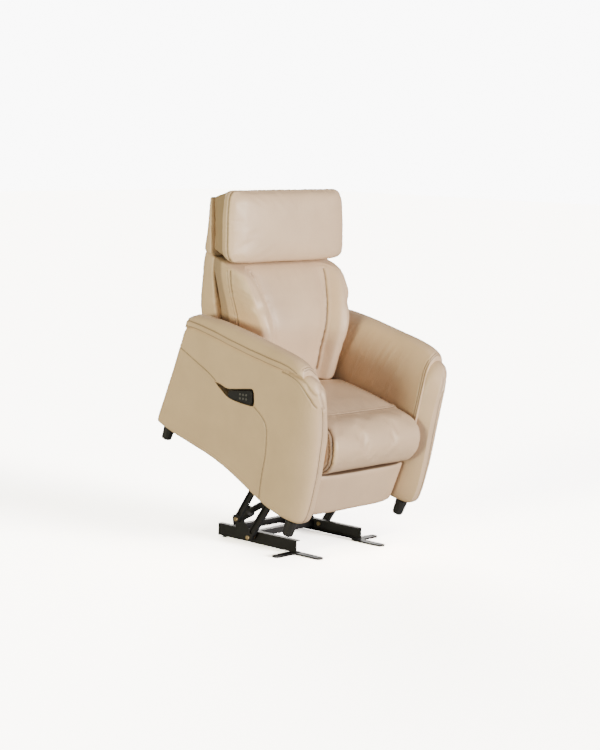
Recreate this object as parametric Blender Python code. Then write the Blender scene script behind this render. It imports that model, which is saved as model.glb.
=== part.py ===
"""Power lift recliner in leather, standing raised on its steel lift base.

The chair faces -Y. The base is drawn with y = 0 at the front ends of its rails. The chair is drawn
level, with y = 0 at its front feet and z = 0 under them, and is then tipped forward on the lift.
"""
import math

import bmesh
import bpy
from mathutils import Vector

# Fits and clearances
GAP = 0.0003
RUN = 0.0003
LANE_GAP = 0.001
WELD = 0.001

# Raised pose: forward tilt, and where the front feet then are
TILT = math.radians(22.16)
FEET_RAISED_Y = -0.0776
FEET_RAISED_Z = 0.1123

# Lift base
RAIL_LENGTH = 0.446
RAIL_HEIGHT = 0.050
RAIL_WIDTH = 0.022
RAIL_WALL = 0.004
RAIL_INSET = 0.0775
PLATE_THICK = 0.0057
LOBE_HALF = 0.018
LOBE_FRONT_Y = -0.130
LOBE_REACH = 0.117
LOBE_SIDE_Y = 0.018
LOBE_HOLE_R = 0.0045
REST_R = 0.0105
REST_INSET = 0.030
BASE_TUBE = 0.025
BASE_TUBE_WALL = 0.002
MID_TUBE_Y = 0.278
REAR_TUBE_INSET = 0.028
GUSSET_TOP_R = 0.016
GUSSET_FRONT = 0.070

# Lift links: lower pivots on the base, lean of the raised links
REAR_PIVOT_Y = 0.328
REAR_PIVOT_Z = 0.092
FRONT_PIVOT_Y = 0.236
FRONT_PIVOT_Z = 0.034
REAR_LINK_LENGTH = 0.300
REAR_LINK_LEAN = math.radians(34.0)
FRONT_LINK_LEAN = math.radians(35.5)
REAR_LINK_R = 0.014
FRONT_LINK_R = 0.015
REAR_LINK_THICK = 0.012
FRONT_LINK_THICK = 0.016
LINK_GROOVE = 0.007
PIVOT_R = 0.005
BOLT_HEAD_R = 0.0092
BOLT_HEAD = 0.006
WASHER_R = 0.011

# Lift frame under the seat, level chair
SIDE_PLATE_THICK = 0.004
FRONT_TUBE_Y = 0.137
FRONT_TUBE_Z = 0.150
BACK_TUBE_Y = 0.430
BACK_TUBE_Z = 0.165
FRAME_TUBE_R = 0.011
JOURNAL_R = 0.007
HINGE_R = 0.008

# Seat frame and springs
FRAME_Z = 0.262
FRAME_HEIGHT = 0.040
FRAME_FRONT_Y = 0.055
FRAME_REAR_Y = 0.470
FRAME_RAIL = 0.025
SPRING_WIRE_R = 0.0018
SPRING_COUNT = 4
SPRING_WAVES = 5

# Seat cushion
SEAT_HALF = 0.2585
SEAT_FRONT_Y = -0.045
SEAT_REAR_Y = 0.478
SEAT_ROLL = 0.088
SEAT_LOW_Z = 0.257
SEAT_TOP_Z = 0.455
SEAT_REAR_Z = 0.398
SEAT_CROWN = 0.012

# Arms
ARM_SEAT_GAP = 0.004
ARM_WIDTH = 0.1185
ARM_FLARE = 0.026
ARM_BOTTOM_Z = 0.065
ARM_ARCH = 0.026
ARM_FRONT_Y = -0.060
ARM_REAR_Y = 0.795
ARM_TOP_Z = 0.676
ARM_REAR_DROP = 0.106
ARM_CORNER = 0.060
PAD_NOSE = 0.026
FACING_LOW = 0.048
FACING_HIGH = 0.060
LOBE_TOP_ROUND = 0.016
PAD_THICK = 0.024
PAD_SEAM_DROP = 0.072
PAD_SEAT_DROP = 0.046
PAD_LOW_Z = 0.312
PAD_FRONT_Y = 0.055
FOOT_R = 0.025
FOOT_INSET = 0.0595
FOOT_REAR_INSET = 0.035

# Footrest
PANEL_SIDE_GAP = 0.0025
PANEL_LOW_Z = 0.062
PANEL_HIGH_Z = 0.250
PANEL_FRONT_Y = -0.006
PAD_DEPTH = 0.036
BOARD_THICK = 0.015
FOOT_AXIS_Y = 0.150
FOOT_AXIS_Z = 0.225
FOOT_LINK_LENGTH = 0.170
FOOT_LINK_ANGLE = math.radians(-65.0)
FOOT_SWEEP = math.radians(-110.0)
PANEL_PIVOT_Y = 0.062
PANEL_PIVOT_Z = 0.100
FOOT_LINK_R = 0.011
FOOT_LINK_THICK = 0.006
CRANK_LENGTH = 0.045
CRANK_X = 0.100

# Back
BACK_AXIS_Y = 0.500
BACK_AXIS_Z = 0.300
BACK_SWEEP = math.radians(-35.0)
BACK_LEVER = 0.075
BACK_SIDE_GAP = 0.0015
BACK_SPREAD = 0.033
BACK_LOW_Z = 0.405
BACK_HIGH_Z = 0.797
BACK_FRONT_LOW_Y = 0.446
BACK_FRONT_HIGH_Y = 0.640
BACK_SWELL = 0.055
BACK_REAR_LOW_Y = 0.645
BACK_REAR_HIGH_Y = 0.762
BACK_PLATE_INSET = 0.0445
BACK_PLATE_THICK = 0.006
SHELL_LOW_Z = 0.220
SHELL_TOP_DROP = 0.014
SHELL_DEPTH_LOW = 0.135
SHELL_DEPTH_HIGH = 0.078
SHELL_SIDE_GAP = 0.0035
SHELL_SPREAD = 0.031
SHELL_REAR_LOW_Y = 0.728
SHELL_REAR_HIGH_Y = 0.910
SHELL_WALL = 0.022
SHELL_CORNER = 0.036
SHELL_BULGE = 0.020

# Headrest
HEAD_AXIS_BEHIND = 0.018
HEAD_AXIS_RISE = 0.003
HEAD_SPREAD = 0.026
HEAD_LIFT = 0.015
HEAD_HEIGHT = 0.280
HEAD_DEPTH = 0.078
HEAD_LEAN = 0.418
CORE_INSET = 0.034
CORE_DEPTH_LOW = 0.066
CORE_LIFT = 0.020
CORE_FRONT_HEIGHT = 0.230
CORE_REAR_HEIGHT = 0.168
HEAD_SHELL_INSET = 0.026
HEAD_SHELL_GAP = 0.003
HEAD_EAR_INSET = 0.050
HEAD_STRIP_REACH = 0.030
HEAD_ROD_R = 0.006

# Actuators
MOTOR_R = 0.024
TUBE_R = 0.014
ROD_R = 0.009
PIN_R = 0.005
EAR_R = 0.014
EAR_THICK = 0.004
FORK_ROOT = 0.056
FORK_SLOT = 0.030
LIFT_X = -0.100
RECLINE_X = 0.0
LIFT_TAIL_Y = 0.425
LIFT_TAIL_Z = 0.070
RECLINE_TAIL_Y = 0.190
RECLINE_TAIL_Z = 0.200

# Handset and its pocket on the sitter's right arm
POCKET_DEPTH = 0.040
LINER_THICK = 0.002
HANDSET_LENGTH = 0.134
HANDSET_HEIGHT = 0.058
HANDSET_TAPER = 0.50
HANDSET_Y = 0.381
HANDSET_Z = 0.412
HANDSET_RISE = math.radians(-22.0)
POCKET_GAP = 0.005
POCKET_TAIL = 0.080
POCKET_TAIL_RISE = 0.040
POCKET_CORNER = 0.018
HANDSET_STANDS_OUT = 0.009
BUTTON_R = 0.0052
BUTTON_HIGH = 0.0022
BUTTON_DEEP = 0.0025
BUTTON_WELL = 0.0045
BUTTON_PITCH_Y = 0.017
BUTTON_PITCH_Z = 0.016

# Control box
BOX_X = -0.110
BOX_Y = 0.416
BOX_LENGTH = 0.110
BOX_DEPTH = 0.090
BOX_HEIGHT = 0.036


# Worked-out places
ARM_INNER_X = SEAT_HALF + ARM_SEAT_GAP
ARM_OUTER_X = ARM_INNER_X + ARM_WIDTH
FOOT_X = ARM_INNER_X + FOOT_INSET
FOOT_REAR_Y = ARM_REAR_Y - FOOT_REAR_INSET
PANEL_HALF = SEAT_HALF - PANEL_SIDE_GAP
RAIL_X = SEAT_HALF - RAIL_INSET
LOBE_SIDE_X = RAIL_X + LOBE_REACH
BACK_HALF = SEAT_HALF - BACK_SIDE_GAP
BACK_HALF_HIGH = BACK_HALF + BACK_SPREAD
BACK_PLATE_X = SEAT_HALF - BACK_PLATE_INSET
SHELL_HALF_LOW = SEAT_HALF - SHELL_SIDE_GAP
SHELL_HALF_HIGH = SHELL_HALF_LOW + SHELL_SPREAD
SHELL_HIGH_Z = BACK_HIGH_Z - SHELL_TOP_DROP
HEAD_HALF = BACK_HALF_HIGH + HEAD_SPREAD
HEAD_AXIS_Y = BACK_REAR_HIGH_Y + HEAD_AXIS_BEHIND
HEAD_AXIS_Z = BACK_HIGH_Z + HEAD_AXIS_RISE
HEAD_LOW_Z = BACK_HIGH_Z + HEAD_LIFT
HEAD_HIGH_Z = HEAD_LOW_Z + HEAD_HEIGHT
HEAD_REAR_Y = BACK_REAR_HIGH_Y
HEAD_FRONT_Y = HEAD_REAR_Y - HEAD_DEPTH
HEAD_SHELL_HALF = HEAD_HALF - HEAD_SHELL_INSET
CORE_HALF = HEAD_HALF - CORE_INSET
CORE_LOW_Z = HEAD_LOW_Z + CORE_LIFT
CORE_FRONT_Z = CORE_LOW_Z + CORE_FRONT_HEIGHT
CORE_HIGH_Z = CORE_LOW_Z + CORE_REAR_HEIGHT
RAIL_LOW_Z = PLATE_THICK + GAP
RAIL_TOP_Z = RAIL_LOW_Z + RAIL_HEIGHT
RAIL_OUT_X = RAIL_X + RAIL_WIDTH / 2
RAIL_WEB_X = RAIL_OUT_X - RAIL_WALL
REAR_LANE = RAIL_OUT_X + LANE_GAP
REAR_LANE_OUT = REAR_LANE + REAR_LINK_THICK
PLATE_LANE = REAR_LANE_OUT + LANE_GAP
PLATE_LANE_OUT = PLATE_LANE + SIDE_PLATE_THICK
FRONT_LANE = PLATE_LANE_OUT + LANE_GAP
FRONT_LANE_OUT = FRONT_LANE + FRONT_LINK_THICK
FOOT_LANE = FRONT_LANE_OUT + LANE_GAP
FOOT_LANE_OUT = FOOT_LANE + FOOT_LINK_THICK
FOOT_LANE_2 = FOOT_LANE_OUT + LANE_GAP
FOOT_LANE_2_OUT = FOOT_LANE_2 + FOOT_LINK_THICK
FRAME_TOP_Z = FRAME_Z + FRAME_HEIGHT
FRAME_HALF = ARM_INNER_X - GAP
SEAT_BED_Z = FRAME_TOP_Z + GAP + 2 * SPRING_WIRE_R + GAP
BOARD_FRONT_Y = PANEL_FRONT_Y + PAD_DEPTH + GAP
SEGMENTS = 12


def turned(point, angle):
    """A (y, z) point turned about X by an angle."""
    y, z = point
    c, s = math.cos(angle), math.sin(angle)
    return (y * c - z * s, y * s + z * c)


def plus(a, b):
    return (a[0] + b[0], a[1] + b[1])


def minus(a, b):
    return (a[0] - b[0], a[1] - b[1])


def along(angle, length):
    return (length * math.cos(angle), length * math.sin(angle))


def lean_forward(angle, length):
    """The (y, z) step of a link that leans forward from upright."""
    return (-length * math.sin(angle), length * math.cos(angle))


def span(a, b):
    return math.hypot(b[0] - a[0], b[1] - a[1])


def heading(a, b):
    return math.atan2(b[1] - a[1], b[0] - a[0])


def mix(a, b, t):
    return a + (b - a) * t


def step(t):
    t = min(1.0, max(0.0, t))
    return t * t * (3 - 2 * t)


def to_chair(point):
    """A base (y, z) point of the raised pose, in the level chair's frame."""
    return turned(minus(point, (FEET_RAISED_Y, FEET_RAISED_Z)), -TILT)


def to_base(point):
    """A level chair (y, z) point, in the base frame at the raised pose."""
    return plus(turned(point, TILT), (FEET_RAISED_Y, FEET_RAISED_Z))


# The lift linkage: both links must also close on the lowered chair
REAR_PIVOT = (REAR_PIVOT_Y, REAR_PIVOT_Z)
FRONT_PIVOT = (FRONT_PIVOT_Y, FRONT_PIVOT_Z)
REAR_TOP_RAISED = plus(REAR_PIVOT, lean_forward(REAR_LINK_LEAN, REAR_LINK_LENGTH))
REAR_TOP = to_chair(REAR_TOP_RAISED)
LOWERED_Y = REAR_PIVOT_Y - REAR_TOP[0] - math.sqrt(
    REAR_LINK_LENGTH ** 2 - (REAR_TOP[1] - REAR_PIVOT_Z) ** 2
)


def front_link_length():
    """The front link length that reaches the same chair pivot raised and lowered.

    The raised pivot is a + length * u and the lowered one b + length * v, with u and v of length 1,
    so the lowered reach equals the length where |b|^2 + 2 length (b . v) = 0.
    """
    start = minus(plus(to_chair(FRONT_PIVOT), (LOWERED_Y, 0.0)), FRONT_PIVOT)
    way = turned(lean_forward(FRONT_LINK_LEAN, 1.0), -TILT)
    return -(start[0] ** 2 + start[1] ** 2) / (2 * (start[0] * way[0] + start[1] * way[1]))


FRONT_LINK_LENGTH = front_link_length()
FRONT_TOP_RAISED = plus(FRONT_PIVOT, lean_forward(FRONT_LINK_LEAN, FRONT_LINK_LENGTH))
FRONT_TOP = to_chair(FRONT_TOP_RAISED)
REAR_TOP_LOWERED = plus(REAR_TOP, (LOWERED_Y, 0.0))
FRONT_TOP_LOWERED = plus(FRONT_TOP, (LOWERED_Y, 0.0))
REAR_SWEEP = heading(REAR_PIVOT, REAR_TOP_LOWERED) - heading(REAR_PIVOT, REAR_TOP_RAISED)
FRONT_SWEEP = heading(FRONT_PIVOT, FRONT_TOP_LOWERED) - heading(FRONT_PIVOT, FRONT_TOP_RAISED)


def lift_state(t):
    """Chair tilt and base place of its front feet, t from 0 raised to 1 lowered."""
    tilt = TILT * (1 - t)
    top = plus(REAR_PIVOT, turned(minus(REAR_TOP_RAISED, REAR_PIVOT), REAR_SWEEP * t))
    return tilt, minus(top, turned(REAR_TOP, tilt))


def in_lifted_chair(point, t):
    tilt, feet = lift_state(t)
    return turned(minus(point, feet), -tilt)


STEPS = [i / 20 for i in range(21)]


def front_pin_path():
    """Where the front link's top pin travels in the level chair's frame."""
    arm = minus(FRONT_TOP_RAISED, FRONT_PIVOT)
    return [in_lifted_chair(plus(FRONT_PIVOT, turned(arm, FRONT_SWEEP * t)), t) for t in STEPS]


def travel_along(tail, head, end):
    """How far a rod that lies from tail to head runs out when its pin goes from head to end."""
    way = heading(tail, head)
    return (end[0] - head[0]) * math.cos(way) + (end[1] - head[1]) * math.sin(way)


# Actuator ends
LIFT_TAIL = (LIFT_TAIL_Y, LIFT_TAIL_Z)
LIFT_HEAD = (FRONT_TUBE_Y, FRONT_TUBE_Z)
LIFT_HEAD_RAISED = to_base(LIFT_HEAD)
LIFT_HEAD_LOWERED = plus(LIFT_HEAD, (LOWERED_Y, 0.0))
LIFT_LENGTH = span(LIFT_TAIL, LIFT_HEAD_RAISED)
LIFT_STROKE = span(LIFT_TAIL, LIFT_HEAD_LOWERED) - LIFT_LENGTH
LIFT_SWING = heading(LIFT_TAIL, LIFT_HEAD_LOWERED) - heading(LIFT_TAIL, LIFT_HEAD_RAISED)

BACK_AXIS = (BACK_AXIS_Y, BACK_AXIS_Z)
RECLINE_TAIL = (RECLINE_TAIL_Y, RECLINE_TAIL_Z)
LEVER_MID = heading(RECLINE_TAIL, (BACK_AXIS_Y, BACK_AXIS_Z - BACK_LEVER)) - math.pi / 2
LEVER_END = plus(BACK_AXIS, along(LEVER_MID - BACK_SWEEP / 2, BACK_LEVER))
LEVER_END_DOWN = plus(BACK_AXIS, along(LEVER_MID + BACK_SWEEP / 2, BACK_LEVER))
RECLINE_STROKE = travel_along(RECLINE_TAIL, LEVER_END, LEVER_END_DOWN)

FOOT_AXIS = (FOOT_AXIS_Y, FOOT_AXIS_Z)
PANEL_PIVOT = (PANEL_PIVOT_Y, PANEL_PIVOT_Z)
FOOT_KNEE = plus(FOOT_AXIS, along(FOOT_LINK_ANGLE, FOOT_LINK_LENGTH))
FOOT_TAIL = (BACK_TUBE_Y, BACK_TUBE_Z + FRAME_TUBE_R + EAR_R + 0.006)
CRANK_START = -math.pi / 2 - FOOT_SWEEP / 2
CRANK_END = plus(FOOT_AXIS, along(CRANK_START, CRANK_LENGTH))
CRANK_OUT = plus(FOOT_AXIS, along(CRANK_START + FOOT_SWEEP, CRANK_LENGTH))
FOOT_STROKE = travel_along(FOOT_TAIL, CRANK_END, CRANK_OUT)


def rod_path(tail, head, swing, stroke):
    """The rod end's places as the actuator swings and runs, both at a steady rate."""
    way = heading(tail, head)
    length = span(tail, head)
    return [plus(tail, along(way + swing * t, length + stroke * t)) for t in STEPS]


def clear_scene():
    for obj in list(bpy.data.objects):
        bpy.data.objects.remove(obj, do_unlink=True)


def make_material(name, colour, roughness, metallic=0.0):
    mat = bpy.data.materials.new(name)
    mat.use_nodes = True
    shader = mat.node_tree.nodes["Principled BSDF"]
    shader.inputs["Base Color"].default_value = (*colour, 1.0)
    shader.inputs["Roughness"].default_value = roughness
    shader.inputs["Metallic"].default_value = metallic
    return mat


def make_empty(name, parent=None, place=(0, 0, 0), tilt=0.0):
    obj = bpy.data.objects.new(name, None)
    obj.location = place
    obj.rotation_euler = (tilt, 0, 0)
    obj.parent = parent
    bpy.context.collection.objects.link(obj)
    return obj


def add_object(name, mesh_data, mat, parent, axis=(0.0, 0.0), sharp=35):
    """Links a mesh drawn in its parent's frame, with its origin on a joint axis along X."""
    mesh = bpy.data.meshes.new(name)
    bmesh.ops.recalc_face_normals(mesh_data, faces=mesh_data.faces)
    bmesh.ops.translate(mesh_data, verts=mesh_data.verts, vec=(0, -axis[0], -axis[1]))
    mesh_data.to_mesh(mesh)
    mesh_data.free()
    mesh.shade_smooth()
    mesh.set_sharp_from_angle(angle=math.radians(sharp))
    obj = bpy.data.objects.new(name, mesh)
    obj.location = (0, axis[0], axis[1])
    obj.parent = parent
    obj.data.materials.append(mat)
    bpy.context.collection.objects.link(obj)
    return obj


def boolean(target, other, operation):
    other.hide_render = True
    other.display_type = "WIRE"
    modifier = target.modifiers.new(operation.lower(), "BOOLEAN")
    modifier.operation = operation
    modifier.solver = "EXACT"
    modifier.object = other


def cut(target, name, mesh_data, axis=(0.0, 0.0)):
    """Cuts a solid, drawn in the target's parent frame, out of the target."""
    tool = add_object(name, mesh_data, target.data.materials[0], target.parent, axis)
    boolean(target, tool, "DIFFERENCE")


def weld(target, name, mesh_data, axis=(0.0, 0.0)):
    """Joins a solid, drawn in the target's parent frame, to the target."""
    tool = add_object(name, mesh_data, target.data.materials[0], target.parent, axis)
    boolean(target, tool, "UNION")


def loft(rings, mesh_data=None, closed=False, split=None):
    """A solid skinned over rings of points, with a face over each end ring unless it is closed.

    split, 0 or 1, picks the diagonal of each patch, so that two skins can lie close along a seam.
    """
    mesh_data = mesh_data or bmesh.new()
    made = [[mesh_data.verts.new(p) for p in ring] for ring in rings]
    pairs = list(zip(made, made[1:]))
    if closed:
        pairs.append((made[-1], made[0]))
    for low, high in pairs:
        for i in range(len(low)):
            j = (i + 1) % len(low)
            patch = (low[i], low[j], high[j], high[i])
            if split is None:
                mesh_data.faces.new(patch)
            else:
                patch = patch[split:] + patch[:split]
                mesh_data.faces.new(patch[:3])
                mesh_data.faces.new((patch[0], patch[2], patch[3]))
    if not closed:
        mesh_data.faces.new(made[0])
        mesh_data.faces.new(made[-1])
    return mesh_data


def prism_x(outline, x0, x1, mesh_data=None):
    """A plate: a (y, z) outline given thickness along X."""
    mesh_data = mesh_data or bmesh.new()
    low = [mesh_data.verts.new((x0, y, z)) for y, z in outline]
    high = [mesh_data.verts.new((x1, y, z)) for y, z in outline]
    mesh_data.faces.new(low)
    mesh_data.faces.new(high)
    for i in range(len(low)):
        j = (i + 1) % len(low)
        mesh_data.faces.new((low[i], low[j], high[j], high[i]))
    return mesh_data


def prism(outline, lift, mesh_data=None):
    """A prism over an outline of 3-D points, raised by the vector lift."""
    mesh_data = mesh_data or bmesh.new()
    low = [mesh_data.verts.new(p) for p in outline]
    high = [mesh_data.verts.new(Vector(p) + Vector(lift)) for p in outline]
    mesh_data.faces.new(low)
    mesh_data.faces.new(high)
    for i in range(len(low)):
        j = (i + 1) % len(low)
        mesh_data.faces.new((low[i], low[j], high[j], high[i]))
    return mesh_data


def box(low, high, mesh_data=None):
    (x0, y0, z0), (x1, y1, z1) = low, high
    outline = [(x0, y0, z0), (x1, y0, z0), (x1, y1, z0), (x0, y1, z0)]
    return prism(outline, (0, 0, z1 - z0), mesh_data)


def circle(centre, radius, count=SEGMENTS):
    return [plus(centre, along(2 * math.pi * i / count, radius)) for i in range(count)]


def stadium(a, b, radius, count=6):
    """The outline of a link with round ends about two points."""
    way = heading(a, b)
    ends = []
    for centre, start in ((b, way - math.pi / 2), (a, way + math.pi / 2)):
        ends += [plus(centre, along(start + math.pi * i / count, radius)) for i in range(count + 1)]
    return ends


def rounded(points, radius, count=4):
    """A polygon with its corners rounded as far as its sides allow."""
    out = []
    for i, corner in enumerate(points):
        before, after = points[i - 1], points[(i + 1) % len(points)]
        back, ahead = heading(corner, before), heading(corner, after)
        half = abs((ahead - back + math.pi) % (2 * math.pi) - math.pi) / 2
        reach = min(radius / math.tan(half), 0.49 * min(span(corner, before), span(corner, after)))
        start, stop = plus(corner, along(back, reach)), plus(corner, along(ahead, reach))
        for k in range(count + 1):
            t = k / count
            a = (mix(start[0], corner[0], t), mix(start[1], corner[1], t))
            b = (mix(corner[0], stop[0], t), mix(corner[1], stop[1], t))
            out.append((mix(a[0], b[0], t), mix(a[1], b[1], t)))
    return out


def strip(points, half):
    """The outline of a flat bar that follows points, with round ends."""
    left, right = [], []
    for i, point in enumerate(points):
        before, after = points[max(i - 1, 0)], points[min(i + 1, len(points) - 1)]
        side = heading(before, after) + math.pi / 2
        left.append(plus(point, along(side, half)))
        right.append(plus(point, along(side, -half)))
    outline = right
    for centre, inner, outer in ((points[-1], points[-2], left), (points[0], points[1], None)):
        way = heading(inner, centre) - math.pi / 2
        outline = outline + [plus(centre, along(way + math.pi * k / 6, half)) for k in range(1, 6)]
        if outer:
            outline = outline + outer[::-1]
    return outline


def lathe_x(profile, centre, mesh_data=None, count=SEGMENTS):
    """A turned piece along X, from (x, radius) pairs in order."""
    rings = [[(x, y, z) for y, z in circle(centre, r, count)] for x, r in profile]
    return loft(rings, mesh_data)


def lathe(start, stop, profile, mesh_data=None, count=SEGMENTS):
    """A turned piece between two points, from (distance, radius) pairs."""
    start, stop = Vector(start), Vector(stop)
    turn = Vector((0, 0, 1)).rotation_difference(stop - start).to_matrix()
    rings = []
    for distance, radius in profile:
        ring = [Vector((*along(2 * math.pi * i / count, radius), distance)) for i in range(count)]
        rings.append([start + turn @ p for p in ring])
    return loft(rings, mesh_data)


def mirrored(points, side):
    return [(side * x, y, z) for x, y, z in points]


# Materials
def make_materials():
    return {
        "leather": make_material("beige_leather", (0.58, 0.47, 0.36), 0.48),
        "steel": make_material("black_steel", (0.022, 0.022, 0.024), 0.42, 0.55),
        "zinc": make_material("zinc_steel", (0.62, 0.60, 0.52), 0.32, 0.9),
        "plastic": make_material("black_plastic", (0.020, 0.020, 0.022), 0.45),
        "motor": make_material("motor_plastic", (0.035, 0.035, 0.038), 0.5),
        "wood": make_material("plain_wood", (0.62, 0.44, 0.26), 0.6),
        "lining": make_material("dark_lining", (0.045, 0.040, 0.036), 0.9),
        "button": make_material("grey_button", (0.11, 0.11, 0.12), 0.5),
    }


SIDES = (("left", 1), ("right", -1))


# Lift base
def rail_section(side):
    inner, web, outer = RAIL_X - RAIL_WIDTH / 2, RAIL_WEB_X, RAIL_OUT_X
    low, top, wall = RAIL_LOW_Z, RAIL_TOP_Z, RAIL_WALL
    points = [(inner, low), (outer, low), (outer, top), (inner, top)]
    points += [(inner, top - wall), (web, top - wall), (web, low + wall), (inner, low + wall)]
    return [(side * x, 0.0, z) for x, z in points]


def gusset_outline():
    y, z = REAR_PIVOT
    foot = RAIL_TOP_Z - RAIL_WALL * 2
    arc = [plus(REAR_PIVOT, along(math.radians(a), GUSSET_TOP_R)) for a in range(0, 151, 30)]
    return [(y - GUSSET_FRONT, foot), (y + GUSSET_TOP_R, foot)] + arc


def foot_plate(side):
    """The L-shaped plate under a rail's front end, with its top let into the rail."""
    w = LOBE_HALF
    points = [
        (RAIL_X - w, LOBE_FRONT_Y),
        (RAIL_X + w, LOBE_FRONT_Y),
        (RAIL_X + w, LOBE_SIDE_Y - w),
        (LOBE_SIDE_X, LOBE_SIDE_Y - w),
        (LOBE_SIDE_X, LOBE_SIDE_Y + w),
        (RAIL_X - w, LOBE_SIDE_Y + w),
    ]
    outline = [(side * x, y, 0.0) for x, y in rounded(points, w * 0.98)]
    return prism(outline, (0, 0, PLATE_THICK + WELD))


def foot_plate_holes(side):
    holes = bmesh.new()
    for x, y in ((RAIL_X, LOBE_FRONT_Y + LOBE_HALF), (LOBE_SIDE_X - LOBE_HALF, LOBE_SIDE_Y)):
        low = [(side * x + a, y + b, -0.01) for a, b in circle((0, 0), LOBE_HOLE_R, 12)]
        prism(low, (0, 0, 0.03), holes)
    return holes


def build_rails(root, mats):
    for word, side in SIDES:
        rail = add_object(
            f"base_rail_{word}",
            prism(rail_section(side), (0, RAIL_LENGTH, 0)),
            mats["steel"],
            root,
        )
        inner, outer = side * (RAIL_WEB_X + 0.0006), side * (RAIL_OUT_X - 0.0004)
        weld(rail, f"gusset_{word}", prism_x(gusset_outline(), inner, outer))
        weld(rail, f"foot_plate_{word}", foot_plate(side))
        x, y = side * RAIL_X, RAIL_LENGTH - REST_INSET
        profile = ((0, REST_R - 0.001), (0.001, REST_R), (PLATE_THICK + WELD, REST_R))
        weld(rail, f"rear_rest_{word}", lathe((x, y, 0), (x, y, 1), profile))
        cut(rail, f"foot_plate_holes_{word}", foot_plate_holes(side))
        holes = bmesh.new()
        near, far = side * (RAIL_WEB_X - 0.01), side * (RAIL_OUT_X + 0.01)
        for pivot in (REAR_PIVOT, FRONT_PIVOT):
            prism_x(circle(pivot, PIVOT_R + RUN), near, far, holes)
        cut(rail, f"pivot_holes_{word}", holes)


def square_tube_x(centre, size, wall, half, mesh_data=None):
    """A square tube along X with open ends."""
    y, z = centre
    corners = ((-1, -1), (1, -1), (1, 1), (-1, 1))
    loops = []
    for x, reach in ((-half, size / 2), (half, size / 2), (half, size / 2 - wall), (-half, size / 2 - wall)):
        loops.append([(x, y + a * reach, z + b * reach) for a, b in corners])
    return loft(loops, mesh_data, closed=True)


def build_base_tubes(root, mats):
    z = RAIL_LOW_Z + RAIL_HEIGHT / 2
    half = RAIL_WEB_X - GAP
    for name, y in (("mid", MID_TUBE_Y), ("rear", RAIL_LENGTH - REAR_TUBE_INSET)):
        tube = add_object(
            f"base_cross_tube_{name}",
            square_tube_x((y, z), BASE_TUBE, BASE_TUBE_WALL, half),
            mats["steel"],
            root,
        )
        if name == "rear":
            foot = (y, z + BASE_TUBE / 2 - BASE_TUBE_WALL / 2)
            for tag, x in ear_places(LIFT_X):
                outline = rounded_ear(foot, LIFT_TAIL, EAR_R)
                weld(tube, f"lift_ear_{tag}", prism_x(outline, x, x + EAR_THICK))
                hole = prism_x(circle(LIFT_TAIL, PIN_R + RUN), x - 0.01, x + EAR_THICK + 0.01)
                cut(tube, f"lift_ear_hole_{tag}", hole)


def ear_places(x):
    """Where the two ears about an actuator's eye start along X."""
    inner = TUBE_R + LANE_GAP
    return (("a", x - inner - EAR_THICK), ("b", x + inner))


def rounded_ear(foot, pin, radius):
    """An ear that stands on a foot line and is round about its pin."""
    way = heading(foot, pin)
    arc = [plus(pin, along(way - math.pi / 2 + math.pi * k / 8, radius)) for k in range(9)]
    side = along(way + math.pi / 2, radius * 1.15)
    return [minus(foot, side)] + arc + [plus(foot, side)]


def build_base_bolts(root, mats):
    nut = RAIL_WEB_X - GAP
    rear_out = REAR_LANE_OUT + GAP
    front_out = FRONT_LANE_OUT + GAP
    spacer = PIVOT_R + 0.003
    tail = ((nut - BOLT_HEAD, BOLT_HEAD_R), (nut, BOLT_HEAD_R), (nut, PIVOT_R))
    rear = tail + ((rear_out, PIVOT_R), (rear_out, BOLT_HEAD_R), (rear_out + BOLT_HEAD, BOLT_HEAD_R * 0.9))
    front = tail + ((RAIL_OUT_X + GAP, PIVOT_R), (RAIL_OUT_X + GAP, spacer), (FRONT_LANE - GAP, spacer))
    front += ((FRONT_LANE - GAP, PIVOT_R), (front_out, PIVOT_R), (front_out, BOLT_HEAD_R))
    front += ((front_out + BOLT_HEAD, BOLT_HEAD_R * 0.9),)
    for word, side in SIDES:
        for tag, profile, pivot in (("rear", rear, REAR_PIVOT), ("front", front, FRONT_PIVOT)):
            bolt = lathe_x([(side * x, r) for x, r in profile], pivot)
            add_object(f"{tag}_pivot_bolt_{word}", bolt, mats["zinc"], root)


# Lift links
def build_link(name, side, low, high, radius, lane, lane_out, pin, root, mats):
    """A pressed channel link with a groove down its outer face and a pin riveted in its top end."""
    link = add_object(
        name, prism_x(stadium(low, high, radius), side * lane, side * lane_out), mats["steel"], root, low
    )
    way = heading(low, high)
    start, stop = plus(low, along(way, 2 * radius)), minus(high, along(way, 2 * radius))
    groove = prism_x(
        stadium(start, stop, radius * 0.55), side * (lane_out - LINK_GROOVE), side * (lane_out + 0.01)
    )
    cut(link, f"{name}_groove", groove, low)
    hole = prism_x(circle(low, PIVOT_R + RUN), side * (lane - 0.01), side * (lane_out + 0.01))
    cut(link, f"{name}_hole", hole, low)
    weld(link, f"{name}_pin", lathe_x([(side * x, r) for x, r in pin], high), low)


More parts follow.
